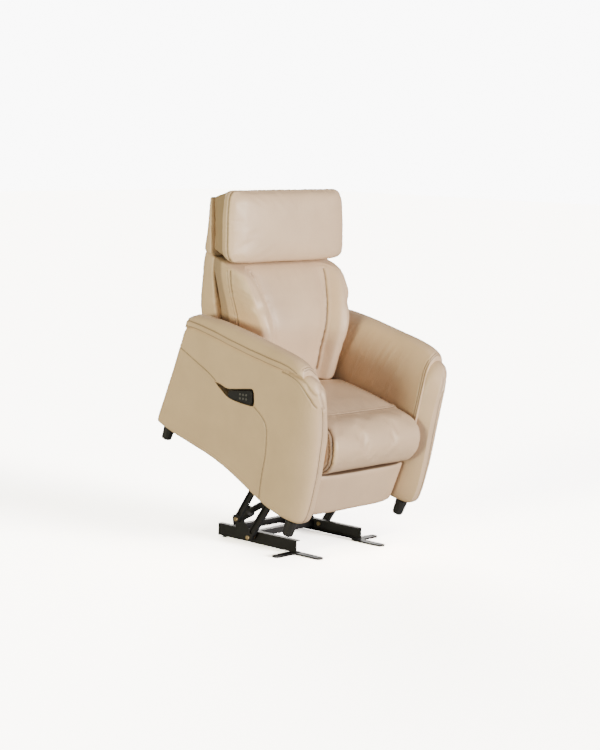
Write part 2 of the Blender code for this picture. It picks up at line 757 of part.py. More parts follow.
def build_links(root, mats):
    head = REAR_LANE - BOLT_HEAD / 2
    sunk = REAR_LANE + BOLT_HEAD / 2
    rear_pin = ((head, BOLT_HEAD_R), (sunk, BOLT_HEAD_R), (sunk, PIVOT_R), (PLATE_LANE_OUT, PIVOT_R))
    head = PLATE_LANE - GAP
    front_pin = ((head - BOLT_HEAD / 2, WASHER_R), (head, WASHER_R), (head, PIVOT_R))
    front_pin += ((FRONT_LANE + FRONT_LINK_THICK / 2, PIVOT_R),)
    for word, side in SIDES:
        build_link(
            f"rear_lift_link_{word}", side, REAR_PIVOT, REAR_TOP_RAISED, REAR_LINK_R,
            REAR_LANE, REAR_LANE_OUT, rear_pin, root, mats,
        )
        build_link(
            f"front_lift_link_{word}", side, FRONT_PIVOT, FRONT_TOP_RAISED, FRONT_LINK_R,
            FRONT_LANE, FRONT_LANE_OUT, front_pin, root, mats,
        )


# Lift frame that rides under the seat
def side_plate_outline():
    """The plate hangs under the seat frame and rises behind it to carry the back's hinge."""
    top = FRAME_Z - GAP
    fillet = 0.010
    behind = FRAME_REAR_Y + fillet + GAP
    lobe = HINGE_R + 0.010
    points = [
        (FRONT_TUBE_Y - 0.022, FRONT_TUBE_Z - 0.018),
        (FRONT_TOP[0] + 0.02, min(FRONT_TOP[1], FRONT_TUBE_Z) - 0.026),
        (REAR_TOP[0] - 0.02, REAR_TOP[1] - 0.022),
        (REAR_TOP[0] + 0.024, REAR_TOP[1] - 0.020),
        (BACK_TUBE_Y + 0.024, BACK_TUBE_Z - 0.022),
        (BACK_AXIS_Y + lobe, BACK_AXIS_Z - lobe),
        (BACK_AXIS_Y + lobe, BACK_AXIS_Z + lobe),
        (BACK_AXIS_Y - lobe, BACK_AXIS_Z + lobe),
        (behind, BACK_AXIS_Z - lobe),
        (behind, top),
        (FOOT_AXIS_Y - 0.014, top),
        (FRONT_TUBE_Y - 0.022, FRONT_TUBE_Z + 0.030),
    ]
    return rounded(points, fillet)


def front_pin_slot():
    """The slot that gives the front link's pin room between raised and lowered."""
    path = front_pin_path()
    far = max(path, key=lambda p: span(p, FRONT_TOP))
    reach = max(span(far, FRONT_TOP), 0.0001)
    across = [
        abs((p[0] - FRONT_TOP[0]) * (far[1] - FRONT_TOP[1]) - (p[1] - FRONT_TOP[1]) * (far[0] - FRONT_TOP[0]))
        / reach
        for p in path
    ]
    return stadium(FRONT_TOP, far, PIVOT_R + max(across) + 4 * RUN)


def build_lift_frame(chair, mats):
    for word, side in SIDES:
        plate = add_object(
            f"lift_side_plate_{word}",
            prism_x(side_plate_outline(), side * PLATE_LANE, side * PLATE_LANE_OUT),
            mats["steel"],
            chair,
        )
        holes = bmesh.new()
        inner, outer = side * (PLATE_LANE - 0.01), side * (PLATE_LANE_OUT + 0.01)
        prism_x(front_pin_slot(), inner, outer, holes)
        for centre, radius in ((REAR_TOP, PIVOT_R), (FOOT_AXIS, JOURNAL_R), (BACK_AXIS, HINGE_R)):
            prism_x(circle(centre, radius + RUN), inner, outer, holes)
        cut(plate, f"plate_holes_{word}", holes)
    half = PLATE_LANE - GAP
    front = add_object(
        "lift_cross_tube_front",
        lathe_x(((-half, FRAME_TUBE_R), (half, FRAME_TUBE_R)), LIFT_HEAD),
        mats["steel"],
        chair,
    )
    for tag, x in ear_places(RECLINE_X):
        outline = rounded_ear(LIFT_HEAD, RECLINE_TAIL, EAR_R)
        weld(front, f"recline_ear_{tag}", prism_x(outline, x, x + EAR_THICK))
        hole = prism_x(circle(RECLINE_TAIL, PIN_R + RUN), x - 0.01, x + EAR_THICK + 0.01)
        cut(front, f"recline_ear_hole_{tag}", hole)
    back = add_object(
        "lift_cross_tube_rear",
        lathe_x(((-half, FRAME_TUBE_R), (half, FRAME_TUBE_R)), (BACK_TUBE_Y, BACK_TUBE_Z)),
        mats["steel"],
        chair,
    )
    for tag, x in ear_places(CRANK_X):
        outline = rounded_ear((BACK_TUBE_Y, BACK_TUBE_Z), FOOT_TAIL, EAR_R)
        weld(back, f"footrest_ear_{tag}", prism_x(outline, x, x + EAR_THICK))
        hole = prism_x(circle(FOOT_TAIL, PIN_R + RUN), x - 0.01, x + EAR_THICK + 0.01)
        cut(back, f"footrest_ear_hole_{tag}", hole)


# Seat
def build_seat_frame(chair, mats):
    outer, inner = FRAME_HALF, FRAME_HALF - FRAME_RAIL
    front, rear = FRAME_FRONT_Y, FRAME_REAR_Y
    loops = []
    for half, y0, y1, z in (
        (outer, front, rear, FRAME_Z),
        (outer, front, rear, FRAME_TOP_Z),
        (inner, front + FRAME_RAIL, rear - FRAME_RAIL, FRAME_TOP_Z),
        (inner, front + FRAME_RAIL, rear - FRAME_RAIL, FRAME_Z),
    ):
        loops.append([(-half, y0, z), (half, y0, z), (half, y1, z), (-half, y1, z)])
    add_object("seat_frame", loft(loops, closed=True), mats["wood"], chair)


def wire(points, radius, mesh_data):
    """A square-sided wire through level points."""
    rings = []
    for i, point in enumerate(points):
        before, after = points[max(i - 1, 0)], points[min(i + 1, len(points) - 1)]
        way = Vector(after) - Vector(before)
        side = Vector((-way.y, way.x, 0)).normalized() * radius
        up = Vector((0, 0, radius))
        rings.append([Vector(point) + v for v in (side, up, -side, -up)])
    loft(rings, mesh_data)


def build_springs(chair, mats):
    """Zigzag springs that run between a clip strip on the front rail and one on the rear rail."""
    start, stop = FRAME_FRONT_Y + FRAME_RAIL * 0.4, FRAME_REAR_Y - FRAME_RAIL * 0.4
    pitch = (stop - start) / (2 * SPRING_WAVES)
    lanes = (FRAME_HALF - FRAME_RAIL) * 2 / SPRING_COUNT
    z = FRAME_TOP_Z + GAP + SPRING_WIRE_R
    half = FRAME_HALF - FRAME_RAIL
    strips = []
    for y in (start, stop):
        low = (-half, y - FRAME_RAIL * 0.25, FRAME_TOP_Z + GAP)
        strips.append(box(low, (half, y + FRAME_RAIL * 0.25, FRAME_TOP_Z + GAP + 1.9 * SPRING_WIRE_R)))
    springs = bmesh.new()
    for k in range(SPRING_COUNT):
        centre = (k - (SPRING_COUNT - 1) / 2) * lanes
        points = [(centre, start, z)]
        for i in range(2 * SPRING_WAVES):
            x = centre + (0.3 if i % 2 else -0.3) * lanes
            points += [(x, start + (i + 0.25) * pitch, z), (x, start + (i + 0.75) * pitch, z)]
        points.append((centre, stop, z))
        wire(points, SPRING_WIRE_R * 0.9, springs)
    mat = add_object("seat_springs", strips[0], mats["zinc"], chair)
    weld(mat, "spring_wires", springs)
    weld(mat, "rear_clip_strip", strips[1])


def squeeze(t, edge):
    """How far in from its side a soft edge has rounded, t from 0 at the side to 1 at its full size."""
    return edge * (1 - math.sqrt(max(0.0, 1 - (1 - t) ** 2)))


def seat_profile(crown, shrink):
    """The seat's side outline: rolled front, top that falls to the rear, bed on the springs."""
    front, low, top = SEAT_FRONT_Y, SEAT_LOW_Z, SEAT_TOP_Z + crown
    start = math.radians(-62)
    tall = (top - low) / (1 - math.sin(start))
    points = []
    for k in range(13):
        a = mix(start, math.pi / 2, k / 12)
        points.append((front + SEAT_ROLL * (1 - math.cos(a)), top - tall * (1 - math.sin(a))))
    bed_front = FRAME_FRONT_Y - GAP - 0.004
    for t in (0.18, 0.36, 0.55, 0.75, 0.93):
        y = mix(front + SEAT_ROLL, SEAT_REAR_Y, t)
        points.append((y, mix(top, SEAT_REAR_Z + crown, t ** 1.3) + 0.004 * math.sin(math.pi * t)))
    points += [(SEAT_REAR_Y, SEAT_REAR_Z + crown - 0.02), (SEAT_REAR_Y, SEAT_BED_Z + 0.012)]
    points += [(SEAT_REAR_Y - 0.02, SEAT_BED_Z), (mix(bed_front, SEAT_REAR_Y, 0.5), SEAT_BED_Z)]
    points += [(bed_front, SEAT_BED_Z), (bed_front, low + 0.006)]
    middle = (mix(front, SEAT_REAR_Y, 0.4), mix(SEAT_BED_Z, top, 0.5))
    out = []
    for y, z in points:
        dy, dz = y - middle[0], z - middle[1]
        far = math.hypot(dy, dz)
        keep = 1 - shrink / far
        y_in = middle[0] + dy * keep
        z_in = z if z <= SEAT_BED_Z else middle[1] + dz * keep
        under = y <= bed_front and z_in <= SEAT_BED_Z
        out.append((min(y_in, bed_front) if under else y_in, z_in))
    return out


def build_seat(chair, mats):
    rings = []
    stops = [0.0, 0.08, 0.3, 0.65, 1.0]
    edge = 0.022
    across = [(SEAT_HALF - edge * t, squeeze(t, 0.016)) for t in stops]
    inner = [(SEAT_HALF - edge) * f for f in (0.8, 0.55, 0.28)]
    half = across + [(x, 0.0) for x in inner]
    for x, shrink in [(-x, s) for x, s in half] + [(0.0, 0.0)] + half[::-1]:
        crown = SEAT_CROWN * (1 - (x / SEAT_HALF) ** 2) - SEAT_CROWN
        rings.append([(x, y, z) for y, z in seat_profile(crown, shrink)])
    add_object("seat_cushion", loft(rings), mats["leather"], chair, sharp=50)


# Arms
def arm_bottom(y):
    """The arched lower edge, level at the front lobe and at the rear foot."""
    t = min(1.0, max(0.0, (y - PAD_FRONT_Y) / (FOOT_REAR_Y - PAD_FRONT_Y)))
    return ARM_BOTTOM_Z + ARM_ARCH * (1 - math.cos(2 * math.pi * t)) / 2


def arm_front(z):
    rise = z - ARM_BOTTOM_Z
    return ARM_FRONT_Y + 0.1425 * rise + 0.9 * max(0.0, rise - 0.335) ** 2


def arm_rear(z):
    return ARM_REAR_Y - 0.055 * (z - ARM_BOTTOM_Z)


def arm_crest(y):
    peak = 0.17
    if y < peak:
        return ARM_TOP_Z - 3.0 * (peak - y) ** 2
    return ARM_TOP_Z - ARM_REAR_DROP * ((y - peak) / (ARM_REAR_Y - peak)) ** 2


def arm_outer(z):
    return ARM_OUTER_X + ARM_FLARE * max(0.0, (z - ARM_BOTTOM_Z) / (ARM_TOP_Z - ARM_BOTTOM_Z)) ** 1.5


def arm_inner(z):
    return ARM_INNER_X + 0.9 * max(0.0, z - 0.40) ** 2


def arm_levels(y):
    """Heights on the arm at y: pad seam outside, top of the panel under the pad, crest of the pad."""
    crest = arm_crest(y)
    return crest - PAD_SEAM_DROP, crest - PAD_SEAT_DROP, crest


def arm_section(y, split):
    """A slice of the arm panel: whole at the front, and only its outer part where the pad lies."""
    seam, top, _ = arm_levels(y)
    low = arm_bottom(y)
    pad = PAD_THICK if split else 0.0
    inner_low = ARM_INNER_X + pad
    top_in = arm_inner(top) + (pad + 0.028 if split else 0.024)
    high = mix(PAD_LOW_Z, seam, 0.64)
    mid = mix(PAD_LOW_Z, seam, 0.32)
    return [
        (ARM_INNER_X + 0.006, low),
        (arm_outer(low) - 0.010, low),
        (arm_outer(low + 0.02), low + 0.016),
        (arm_outer(0.22), 0.22),
        (arm_outer(0.38), 0.38),
        (arm_outer(seam) + 0.001, seam - 0.05),
        (arm_outer(seam) - 0.001, seam),
        (arm_outer(top) - 0.016, top),
        (top_in, top),
        (arm_inner(high) + pad, high),
        (arm_inner(mid) + pad, mid),
        (inner_low, PAD_LOW_Z + 0.001),
        (ARM_INNER_X, PAD_LOW_Z),
        (ARM_INNER_X, mix(low, PAD_LOW_Z, 0.5)),
        (ARM_INNER_X, low + 0.006),
    ]


def pad_section(y):
    """A slice of the arm pad, which drapes from the outer seam over the top to the seat."""
    seam, top, crest = arm_levels(y)
    fit = 2 * GAP
    high = mix(PAD_LOW_Z, seam, 0.64)
    mid = mix(PAD_LOW_Z, seam, 0.32)
    pad = PAD_THICK - fit
    low = PAD_LOW_Z + 0.001 + fit
    return [
        (arm_outer(seam) + 0.000, seam + fit),
        (arm_outer(seam) + 0.006, seam + 0.014),
        (arm_outer(crest) + 0.003, crest - 0.020),
        (arm_outer(crest) - 0.010, crest),
        (mix(arm_inner(top), arm_outer(crest), 0.55), crest - 0.010),
        (arm_inner(top) + 0.018, crest - 0.030),
        (arm_inner(top) + 0.002, top - 0.014),
        (arm_inner(high), high),
        (arm_inner(mid), mid),
        (ARM_INNER_X + 0.0005, low + 0.012),
        (ARM_INNER_X + 0.006, low),
        (ARM_INNER_X + pad, low),
        (arm_inner(mid) + pad, mid),
        (arm_inner(high) + pad, high),
        (arm_inner(top) + pad + 0.028, top + fit),
        (arm_outer(top) - 0.016 + fit, top + fit),
    ]


ARM_STOPS = (0.12, 0.20, 0.32, 0.46, 0.60, 0.72)


def front_ring(t):
    """A ring of the arm's front lobe, t from 0 at its face to 1 where the pad begins."""
    ring = []
    section = arm_section(PAD_FRONT_Y, False)
    middle = mix(ARM_INNER_X, ARM_OUTER_X, 0.4)
    top = arm_levels(PAD_FRONT_Y)[1]
    for x, z in section:
        y = mix(arm_front(z), PAD_FRONT_Y, t)
        if x > middle:
            x -= squeeze(t, ARM_CORNER)
        else:
            soft = mix(FACING_LOW, FACING_HIGH, step((z - PAD_LOW_Z) / (top - PAD_LOW_Z)))
            x += squeeze(min(1.0, 1.8 * t), soft)
        if z > top - 0.001:
            z -= squeeze(t, LOBE_TOP_ROUND)
        ring.append((x, y, z))
    return ring


def pad_nose(y, t):
    """A ring at the front end of the pad, rounded off above the panel, t from 0 at the end to 1."""
    _, top, crest = arm_levels(y)
    middle = mix(ARM_INNER_X, ARM_OUTER_X, 0.5)
    ring = []
    for x, z in pad_section(y):
        inward = squeeze(t, PAD_NOSE) * step((z - top) / (crest - top))
        ring.append((x - inward if x > middle else x + 0.5 * inward, y, z - inward))
    return ring


def rear_ring(section, last, t, inset):
    """A ring near the arm's rear edge, its outer side drawn in by inset."""
    outside = mix(ARM_INNER_X, ARM_OUTER_X, 0.8)
    return [(x - inset if x > outside else x, mix(last, arm_rear(z), t), z) for x, z in section]


def build_arms(chair, mats):
    for word, side in SIDES:
        rings = [front_ring(t) for t in (0.0, 0.05, 0.18, 0.4, 0.7, 1.0)]
        rings += [[(x, y, z) for x, z in arm_section(y, True)] for y in (PAD_FRONT_Y + 0.001, *ARM_STOPS)]
        section = arm_section(ARM_REAR_Y, True)
        rings += [rear_ring(section, ARM_STOPS[-1], t, inset) for t, inset in ((0.85, 0.0), (1.0, 0.006))]
        arm = add_object(
            f"arm_{word}",
            loft([mirrored(ring, side) for ring in rings], split=0),
            mats["leather"],
            chair,
            sharp=50,
        )
        if side < 0:
            depth = arm_outer(HANDSET_Z) - POCKET_DEPTH
            cut(arm, "pocket_cavity", prism_x(pocket_outline(0.0), -depth, -depth - 0.08))
        nose = PAD_FRONT_Y + 0.001 + 2 * GAP
        rings = [pad_nose(nose + PAD_NOSE * t, t) for t in (0.0, 0.15, 0.45, 1.0)]
        rings += [[(x, y, z) for x, z in pad_section(y)] for y in ARM_STOPS]
        section = pad_section(ARM_REAR_Y)
        rings += [rear_ring(section, ARM_STOPS[-1], t, 0.0) for t in (0.85, 0.98)]
        add_object(
            f"arm_pad_{word}",
            loft([mirrored(ring, side) for ring in rings], split=1),
            mats["leather"],
            chair,
            sharp=50,
        )


def build_feet(chair, mats):
    for word, side in SIDES:
        for tag, y in (("front", 0.0), ("rear", FOOT_REAR_Y)):
            top = min(arm_bottom(y - FOOT_R), arm_bottom(y + FOOT_R)) - GAP
            profile = ((0.0, FOOT_R * 0.78), (0.004, FOOT_R * 0.86), (top - 0.006, FOOT_R), (top, FOOT_R))
            foot = lathe((side * FOOT_X, y, 0), (side * FOOT_X, y, 1), profile)
            add_object(f"foot_{tag}_{word}", foot, mats["plastic"], chair)


# Handset in its pocket
def pocket_outline(inset):
    """The crescent mouth of the pocket: room for the handset, and a tail that curves up behind it."""
    y, z = HANDSET_LENGTH / 2 + POCKET_GAP, HANDSET_HEIGHT / 2 + POCKET_GAP
    rear = HANDSET_HEIGHT / 2 * HANDSET_TAPER + POCKET_GAP
    tip = (y + POCKET_TAIL, POCKET_TAIL_RISE)
    points = [
        tip,
        (mix(y, tip[0], 0.55), mix(rear, tip[1], 0.80)),
        (y, rear + 0.002),
        (-y, z),
        (-y - 0.003, 0.0),
        (-y, -z),
        (0.0, -mix(z, rear, 0.4)),
        (y * 0.9, -rear),
        (mix(y, tip[0], 0.50), mix(-rear, tip[1], 0.40)),
    ]
    points = rounded([handset_place(*p) for p in points], POCKET_CORNER, 3)
    out = []
    for before, point, after in zip(points[-1:] + points[:-1], points, points[1:] + points[:1]):
        inward = heading(before, after) + math.pi / 2
        out.append(plus(point, along(inward, inset)))
    return out


def handset_place(y, z):
    return plus((HANDSET_Y, HANDSET_Z), turned((y, z), HANDSET_RISE))


def handset_outline():
    y, z = HANDSET_LENGTH / 2, HANDSET_HEIGHT / 2
    points = [(-y, -z), (y, -z * HANDSET_TAPER), (y, z * HANDSET_TAPER), (-y, z)]
    return [handset_place(*p) for p in rounded(points, 0.012)]


def build_handset(chair, mats):
    face = arm_outer(HANDSET_Z)
    floor = face - POCKET_DEPTH
    bed = floor + GAP + LINER_THICK
    out = face + HANDSET_STANDS_OUT
    liner = prism_x(pocket_outline(0.001), -floor - GAP, -bed)
    add_object("handset_pocket_liner", liner, mats["lining"], chair)
    outline = handset_outline()
    rings = []
    for x, keep in ((bed + GAP, 0.95), (bed + 0.004, 1.0), (out - 0.004, 1.0), (out, 0.94)):
        rings.append([
            (-x, mix(HANDSET_Y, y, keep), mix(HANDSET_Z, z, keep)) for y, z in outline
        ])
    shell = add_object("handset_shell", loft(rings), mats["plastic"], chair)
    for column in range(3):
        for row in range(2):
            y = (column - 1) * BUTTON_PITCH_Y - HANDSET_LENGTH * 0.16
            centre = handset_place(y, (row - 0.5) * BUTTON_PITCH_Z)
            name = f"handset_button_{2 * column + row + 1}"
            well = prism_x(circle(centre, BUTTON_R + RUN, 12), -out + BUTTON_WELL, -out - 0.01)
            cut(shell, f"{name}_well", well)
            profile = ((-out + BUTTON_DEEP, BUTTON_R), (-out - BUTTON_HIGH * 0.6, BUTTON_R))
            profile += ((-out - BUTTON_HIGH, BUTTON_R * 0.75),)
            add_object(name, lathe_x(profile, centre, count=12), mats["button"], chair, centre)


# Footrest
def build_footrest(chair, mats):
    build_footrest_drive(chair, mats)
    for word, side in SIDES:
        link = add_object(
            f"footrest_link_{word}",
            prism_x(stadium(FOOT_KNEE, PANEL_PIVOT, FOOT_LINK_R), side * FOOT_LANE_2, side * FOOT_LANE_2_OUT),
            mats["steel"],
            chair,
            FOOT_KNEE,
        )
        hole = prism_x(
            circle(PANEL_PIVOT, PIVOT_R + RUN), side * (FOOT_LANE_2 - 0.01), side * (FOOT_LANE_2_OUT + 0.01)
        )
        cut(link, f"panel_pin_hole_{word}", hole, FOOT_KNEE)
        profile = ((FOOT_LANE, PIVOT_R), (FOOT_LANE_2 + FOOT_LINK_THICK / 2, PIVOT_R))
        weld(link, f"knee_pin_{word}", lathe_x([(side * x, r) for x, r in profile], FOOT_KNEE), FOOT_KNEE)
        build_footrest_bracket(word, side, chair, mats)
    build_footrest_panel(chair, mats)


def build_footrest_drive(chair, mats):
    """The torque tube with the link at each end, and the slotted crank that its actuator pushes."""
    body, end = PLATE_LANE - GAP, FOOT_LANE + FOOT_LINK_THICK / 2
    radius = FRAME_TUBE_R * 0.9
    half = ((body, radius), (body, JOURNAL_R), (end, JOURNAL_R))
    profile = [(-x, r) for x, r in half[::-1]] + list(half)
    drive = add_object("footrest_drive", lathe_x(profile, FOOT_AXIS), mats["steel"], chair, FOOT_AXIS)
    knee_holes = bmesh.new()
    for word, side in SIDES:
        link = prism_x(stadium(FOOT_AXIS, FOOT_KNEE, FOOT_LINK_R), side * FOOT_LANE, side * FOOT_LANE_OUT)
        weld(drive, f"drive_link_{word}", link, FOOT_AXIS)
        hole = circle(FOOT_KNEE, PIVOT_R + RUN)
        prism_x(hole, side * (FOOT_LANE - 0.01), side * (FOOT_LANE_OUT + 0.01), knee_holes)
    cut(drive, "knee_holes", knee_holes, FOOT_AXIS)
    x = CRANK_X - EAR_THICK / 2
    crank = prism_x(stadium(FOOT_AXIS, CRANK_END, EAR_R + 0.004), x, x + EAR_THICK)
    weld(drive, "footrest_crank", crank, FOOT_AXIS)
    cut(drive, "crank_slot", prism_x(crank_slot(), x - 0.01, x + EAR_THICK + 0.01), FOOT_AXIS)


def build_footrest_bracket(word, side, chair, mats):
    """An ear on the back of the board, with the pin that the front link turns on."""
    foot = BOARD_FRONT_Y + BOARD_THICK + GAP
    z = PANEL_PIVOT_Z
    ear = [(foot, z - 0.03), (foot, z + 0.03)]
    ear += [plus(PANEL_PIVOT, along(math.radians(a), EAR_R * 0.8)) for a in range(90, -91, -30)]
    bracket = add_object(
        f"footrest_bracket_{word}",
        prism_x(ear, side * FOOT_LANE, side * FOOT_LANE_OUT),
        mats["steel"],
        chair,
        PANEL_PIVOT,
    )
    profile = ((FOOT_LANE + FOOT_LINK_THICK / 2, PIVOT_R), (FOOT_LANE_2_OUT, PIVOT_R))
    weld(bracket, f"panel_pin_{word}", lathe_x([(side * x, r) for x, r in profile], PANEL_PIVOT), PANEL_PIVOT)


def crank_slot():
    """Room in the crank for the rod's pin, found from the pin's path seen from the crank."""
    path = rod_path(FOOT_TAIL, CRANK_END, 0.0, FOOT_STROKE)
    seen = [turned(minus(p, FOOT_AXIS), -FOOT_SWEEP * t) for p, t in zip(path, STEPS)]
    way = heading((0, 0), seen[0])
    flat = [turned(p, -way) for p in seen]
    near, far = min(p[0] for p in flat), max(p[0] for p in flat)
    radius = PIN_R + max(abs(p[1]) for p in flat) + 2 * RUN
    return stadium(plus(FOOT_AXIS, along(way, near)), plus(FOOT_AXIS, along(way, far)), radius)


def build_footrest_panel(chair, mats):
    board_back = BOARD_FRONT_Y + BOARD_THICK
    half = PANEL_HALF - 0.006
    add_object(
        "footrest_board",
        box((-half, BOARD_FRONT_Y, PANEL_LOW_Z + 0.004), (half, board_back, PANEL_HIGH_Z - 0.004)),
        mats["wood"],
        chair,
        PANEL_PIVOT,
    )
    rings = []
    edge = 0.014
    height = PANEL_HIGH_Z - PANEL_LOW_Z
    for t in (0.0, 0.03, 0.10, 0.3, 0.5, 0.7, 0.90, 0.97, 1.0):
        z = PANEL_LOW_Z + height * t
        soft = squeeze(min(1.0, min(t, 1 - t) / 0.10), edge)
        rings.append(pad_ring(z, PANEL_HALF - soft * 0.5, soft))
    add_object("footrest_pad", loft(rings), mats["leather"], chair, PANEL_PIVOT, sharp=50)


def pad_ring(z, half, soft):
    """A level slice of the footrest pad: flat behind, crowned in front."""
    back, front = PANEL_FRONT_Y + PAD_DEPTH, PANEL_FRONT_Y
    ring = [(half - 0.004, back), (-half + 0.004, back), (-half, back - 0.010)]
    for k in range(11):
        f = k / 10 * 2 - 1
        ring.append((f * half * 0.99, front + soft + 0.012 * abs(f) ** 8 + 0.003 * f * f))
    ring.append((half, back - 0.010))
    return [(x, y, z) for x, y in ring]


# Back
def back_front(z):
    """The middle of the back cushion's face: straight lean with a swell above the lumbar."""
    t = (z - BACK_LOW_Z) / (BACK_HIGH_Z - BACK_LOW_Z)
    swell = BACK_SWELL * math.sin(math.pi * min(1.0, max(0.0, t)) ** 1.3) ** 1.2
    return mix(BACK_FRONT_LOW_Y, BACK_FRONT_HIGH_Y, t) - swell


def back_rear(z):
    return mix(BACK_REAR_LOW_Y, BACK_REAR_HIGH_Y, (z - BACK_LOW_Z) / (BACK_HIGH_Z - BACK_LOW_Z))


def back_half(z):
    """The cushion fits between the arms and spreads above them."""
    t = (z - BACK_LOW_Z) / (BACK_HIGH_Z - BACK_LOW_Z)
    half = mix(BACK_HALF, BACK_HALF_HIGH, step((t - 0.30) / 0.45))
    return half - 0.012 * (1 - min(1.0, 2 * t)) ** 2 - 0.006 * step((t - 0.8) / 0.2)


def back_ring(z, soft):
    t = (z - BACK_LOW_Z) / (BACK_HIGH_Z - BACK_LOW_Z)
    half = back_half(z) - soft * 0.5
    front, rear = back_front(z), back_rear(z) - soft * 0.3
    panel = mix(0.125, 0.185, t)
    ring = [(half - 0.012, rear), (0.0, rear), (-half + 0.012, rear)]
    depth = rear - front
    side = [(-half, rear - 0.02), (-half - 0.001, rear - depth * 0.3), (-half + 0.004, rear - depth * 0.55)]
    ring += side
    for k in range(17):
        x = (k / 16 * 2 - 1) * (half - 0.016)
        f = abs(x) / half
        crease = 0.016 * math.exp(-(((abs(x) - panel) / 0.018) ** 2))
        roll = 0.022 * max(0.0, (f - 0.78) / 0.22) ** 2.4
        bolster = 0.018 * math.exp(-(((abs(x) - mix(panel, half, 0.55)) / 0.045) ** 2))
        swell = 0.010 * (1 - f * f)
        ring.append((x, front + 0.012 + soft + crease + roll - swell - bolster))
    ring += [(-x, y) for x, y in side[::-1]]
    return [(x, y, z) for x, y in ring]


def build_back_cushion(chair, mats):
    rings = []
    for t in (0.0, 0.015, 0.05, 0.12, 0.2, 0.3, 0.4, 0.5, 0.6, 0.7, 0.8, 0.88, 0.94, 0.98, 1.0):
        near = min(1.0, min(t / 0.09, (1 - t) / 0.10))
        rings.append(back_ring(mix(BACK_LOW_Z, BACK_HIGH_Z, t), squeeze(near, 0.026)))
    add_object("back_cushion", loft(rings), mats["leather"], chair, BACK_AXIS, sharp=50)


def rear_plane_bar(z, radius):
    """Centre of a cross bar that lies against the back of the cushion at height z."""
    lean = math.atan2(BACK_REAR_HIGH_Y - BACK_REAR_LOW_Y, BACK_HIGH_Z - BACK_LOW_Z)
    reach = radius + 2 * GAP
    return (back_rear(z) + reach * math.cos(lean), z - reach * math.sin(lean))


def build_back_frame(chair, mats):
    bar_r = 0.009
    bars = [rear_plane_bar(z, bar_r) for z in (BACK_LOW_Z + 0.08, BACK_HIGH_Z - 0.06)]
    line = [BACK_AXIS, (BACK_AXIS_Y + 0.135, BACK_AXIS_Z + 0.045)]
    line += [plus(bars[0], (0.008, -0.04)), plus(bars[0], (0.006, 0.0)), plus(bars[1], (0.006, 0.0))]
    line.append((HEAD_AXIS_Y, HEAD_AXIS_Z))
    x0, x1 = BACK_PLATE_X, BACK_PLATE_X + BACK_PLATE_THICK
    outline = strip(line, 0.015)
    frame = add_object("back_frame", prism_x(outline, x0, x1), mats["steel"], chair, BACK_AXIS)
    half = BACK_PLATE_X + BACK_PLATE_THICK / 2
    for k, centre in enumerate(bars):
        weld(frame, f"back_bar_{k}", lathe_x(((-half, bar_r), (half, bar_r)), centre, count=12), BACK_AXIS)
    weld(frame, "back_plate_right", prism_x(outline, -x0, -x1), BACK_AXIS)
    holes = bmesh.new()
    for centre, radius in ((BACK_AXIS, HINGE_R), ((HEAD_AXIS_Y, HEAD_AXIS_Z), HEAD_ROD_R)):
        for side in (1, -1):
            prism_x(circle(centre, radius + GAP), side * (x0 - 0.01), side * (x1 + 0.01), holes)
    cut(frame, "back_frame_holes", holes, BACK_AXIS)
    half = BACK_PLATE_X + BACK_PLATE_THICK + 0.010
    rod = lathe_x(((-half, HEAD_ROD_R), (half, HEAD_ROD_R)), (HEAD_AXIS_Y, HEAD_AXIS_Z))
    add_object("headrest_hinge_rod", rod, mats["zinc"], chair, BACK_AXIS)


def build_back_hinge(chair, mats):
    """The torque tube on the back's hinge line, with the slotted lever that its actuator pulls."""
    body, end = PLATE_LANE - GAP, BACK_PLATE_X + BACK_PLATE_THICK + GAP
    half = ((body, FRAME_TUBE_R), (body, HINGE_R), (end, HINGE_R), (end, WASHER_R), (end + 0.003, WASHER_R))
    profile = [(-x, r) for x, r in half[::-1]] + list(half)
    tube = add_object("back_torque_tube", lathe_x(profile, BACK_AXIS), mats["steel"], chair, BACK_AXIS)
    x = RECLINE_X - EAR_THICK / 2
    lever = prism_x(stadium(BACK_AXIS, LEVER_END, EAR_R + 0.004), x, x + EAR_THICK)
    weld(tube, "back_lever", lever, BACK_AXIS)
    cut(tube, "lever_slot", prism_x(lever_slot(), x - 0.01, x + EAR_THICK + 0.01), BACK_AXIS)


def lever_slot():
    path = rod_path(RECLINE_TAIL, LEVER_END, 0.0, RECLINE_STROKE)
    seen = [turned(minus(p, BACK_AXIS), -BACK_SWEEP * t) for p, t in zip(path, STEPS)]
    way = heading((0, 0), seen[0])
    flat = [turned(p, -way) for p in seen]
    near, far = min(p[0] for p in flat), max(p[0] for p in flat)
    radius = PIN_R + max(abs(p[1]) for p in flat) + 2 * RUN
    return stadium(plus(BACK_AXIS, along(way, near)), plus(BACK_AXIS, along(way, far)), radius)


def shell_rear(z):
    t = (z - SHELL_LOW_Z) / (SHELL_HIGH_Z - SHELL_LOW_Z)
    return mix(SHELL_REAR_LOW_Y, SHELL_REAR_HIGH_Y, t) + SHELL_BULGE * math.sin(math.pi * t)


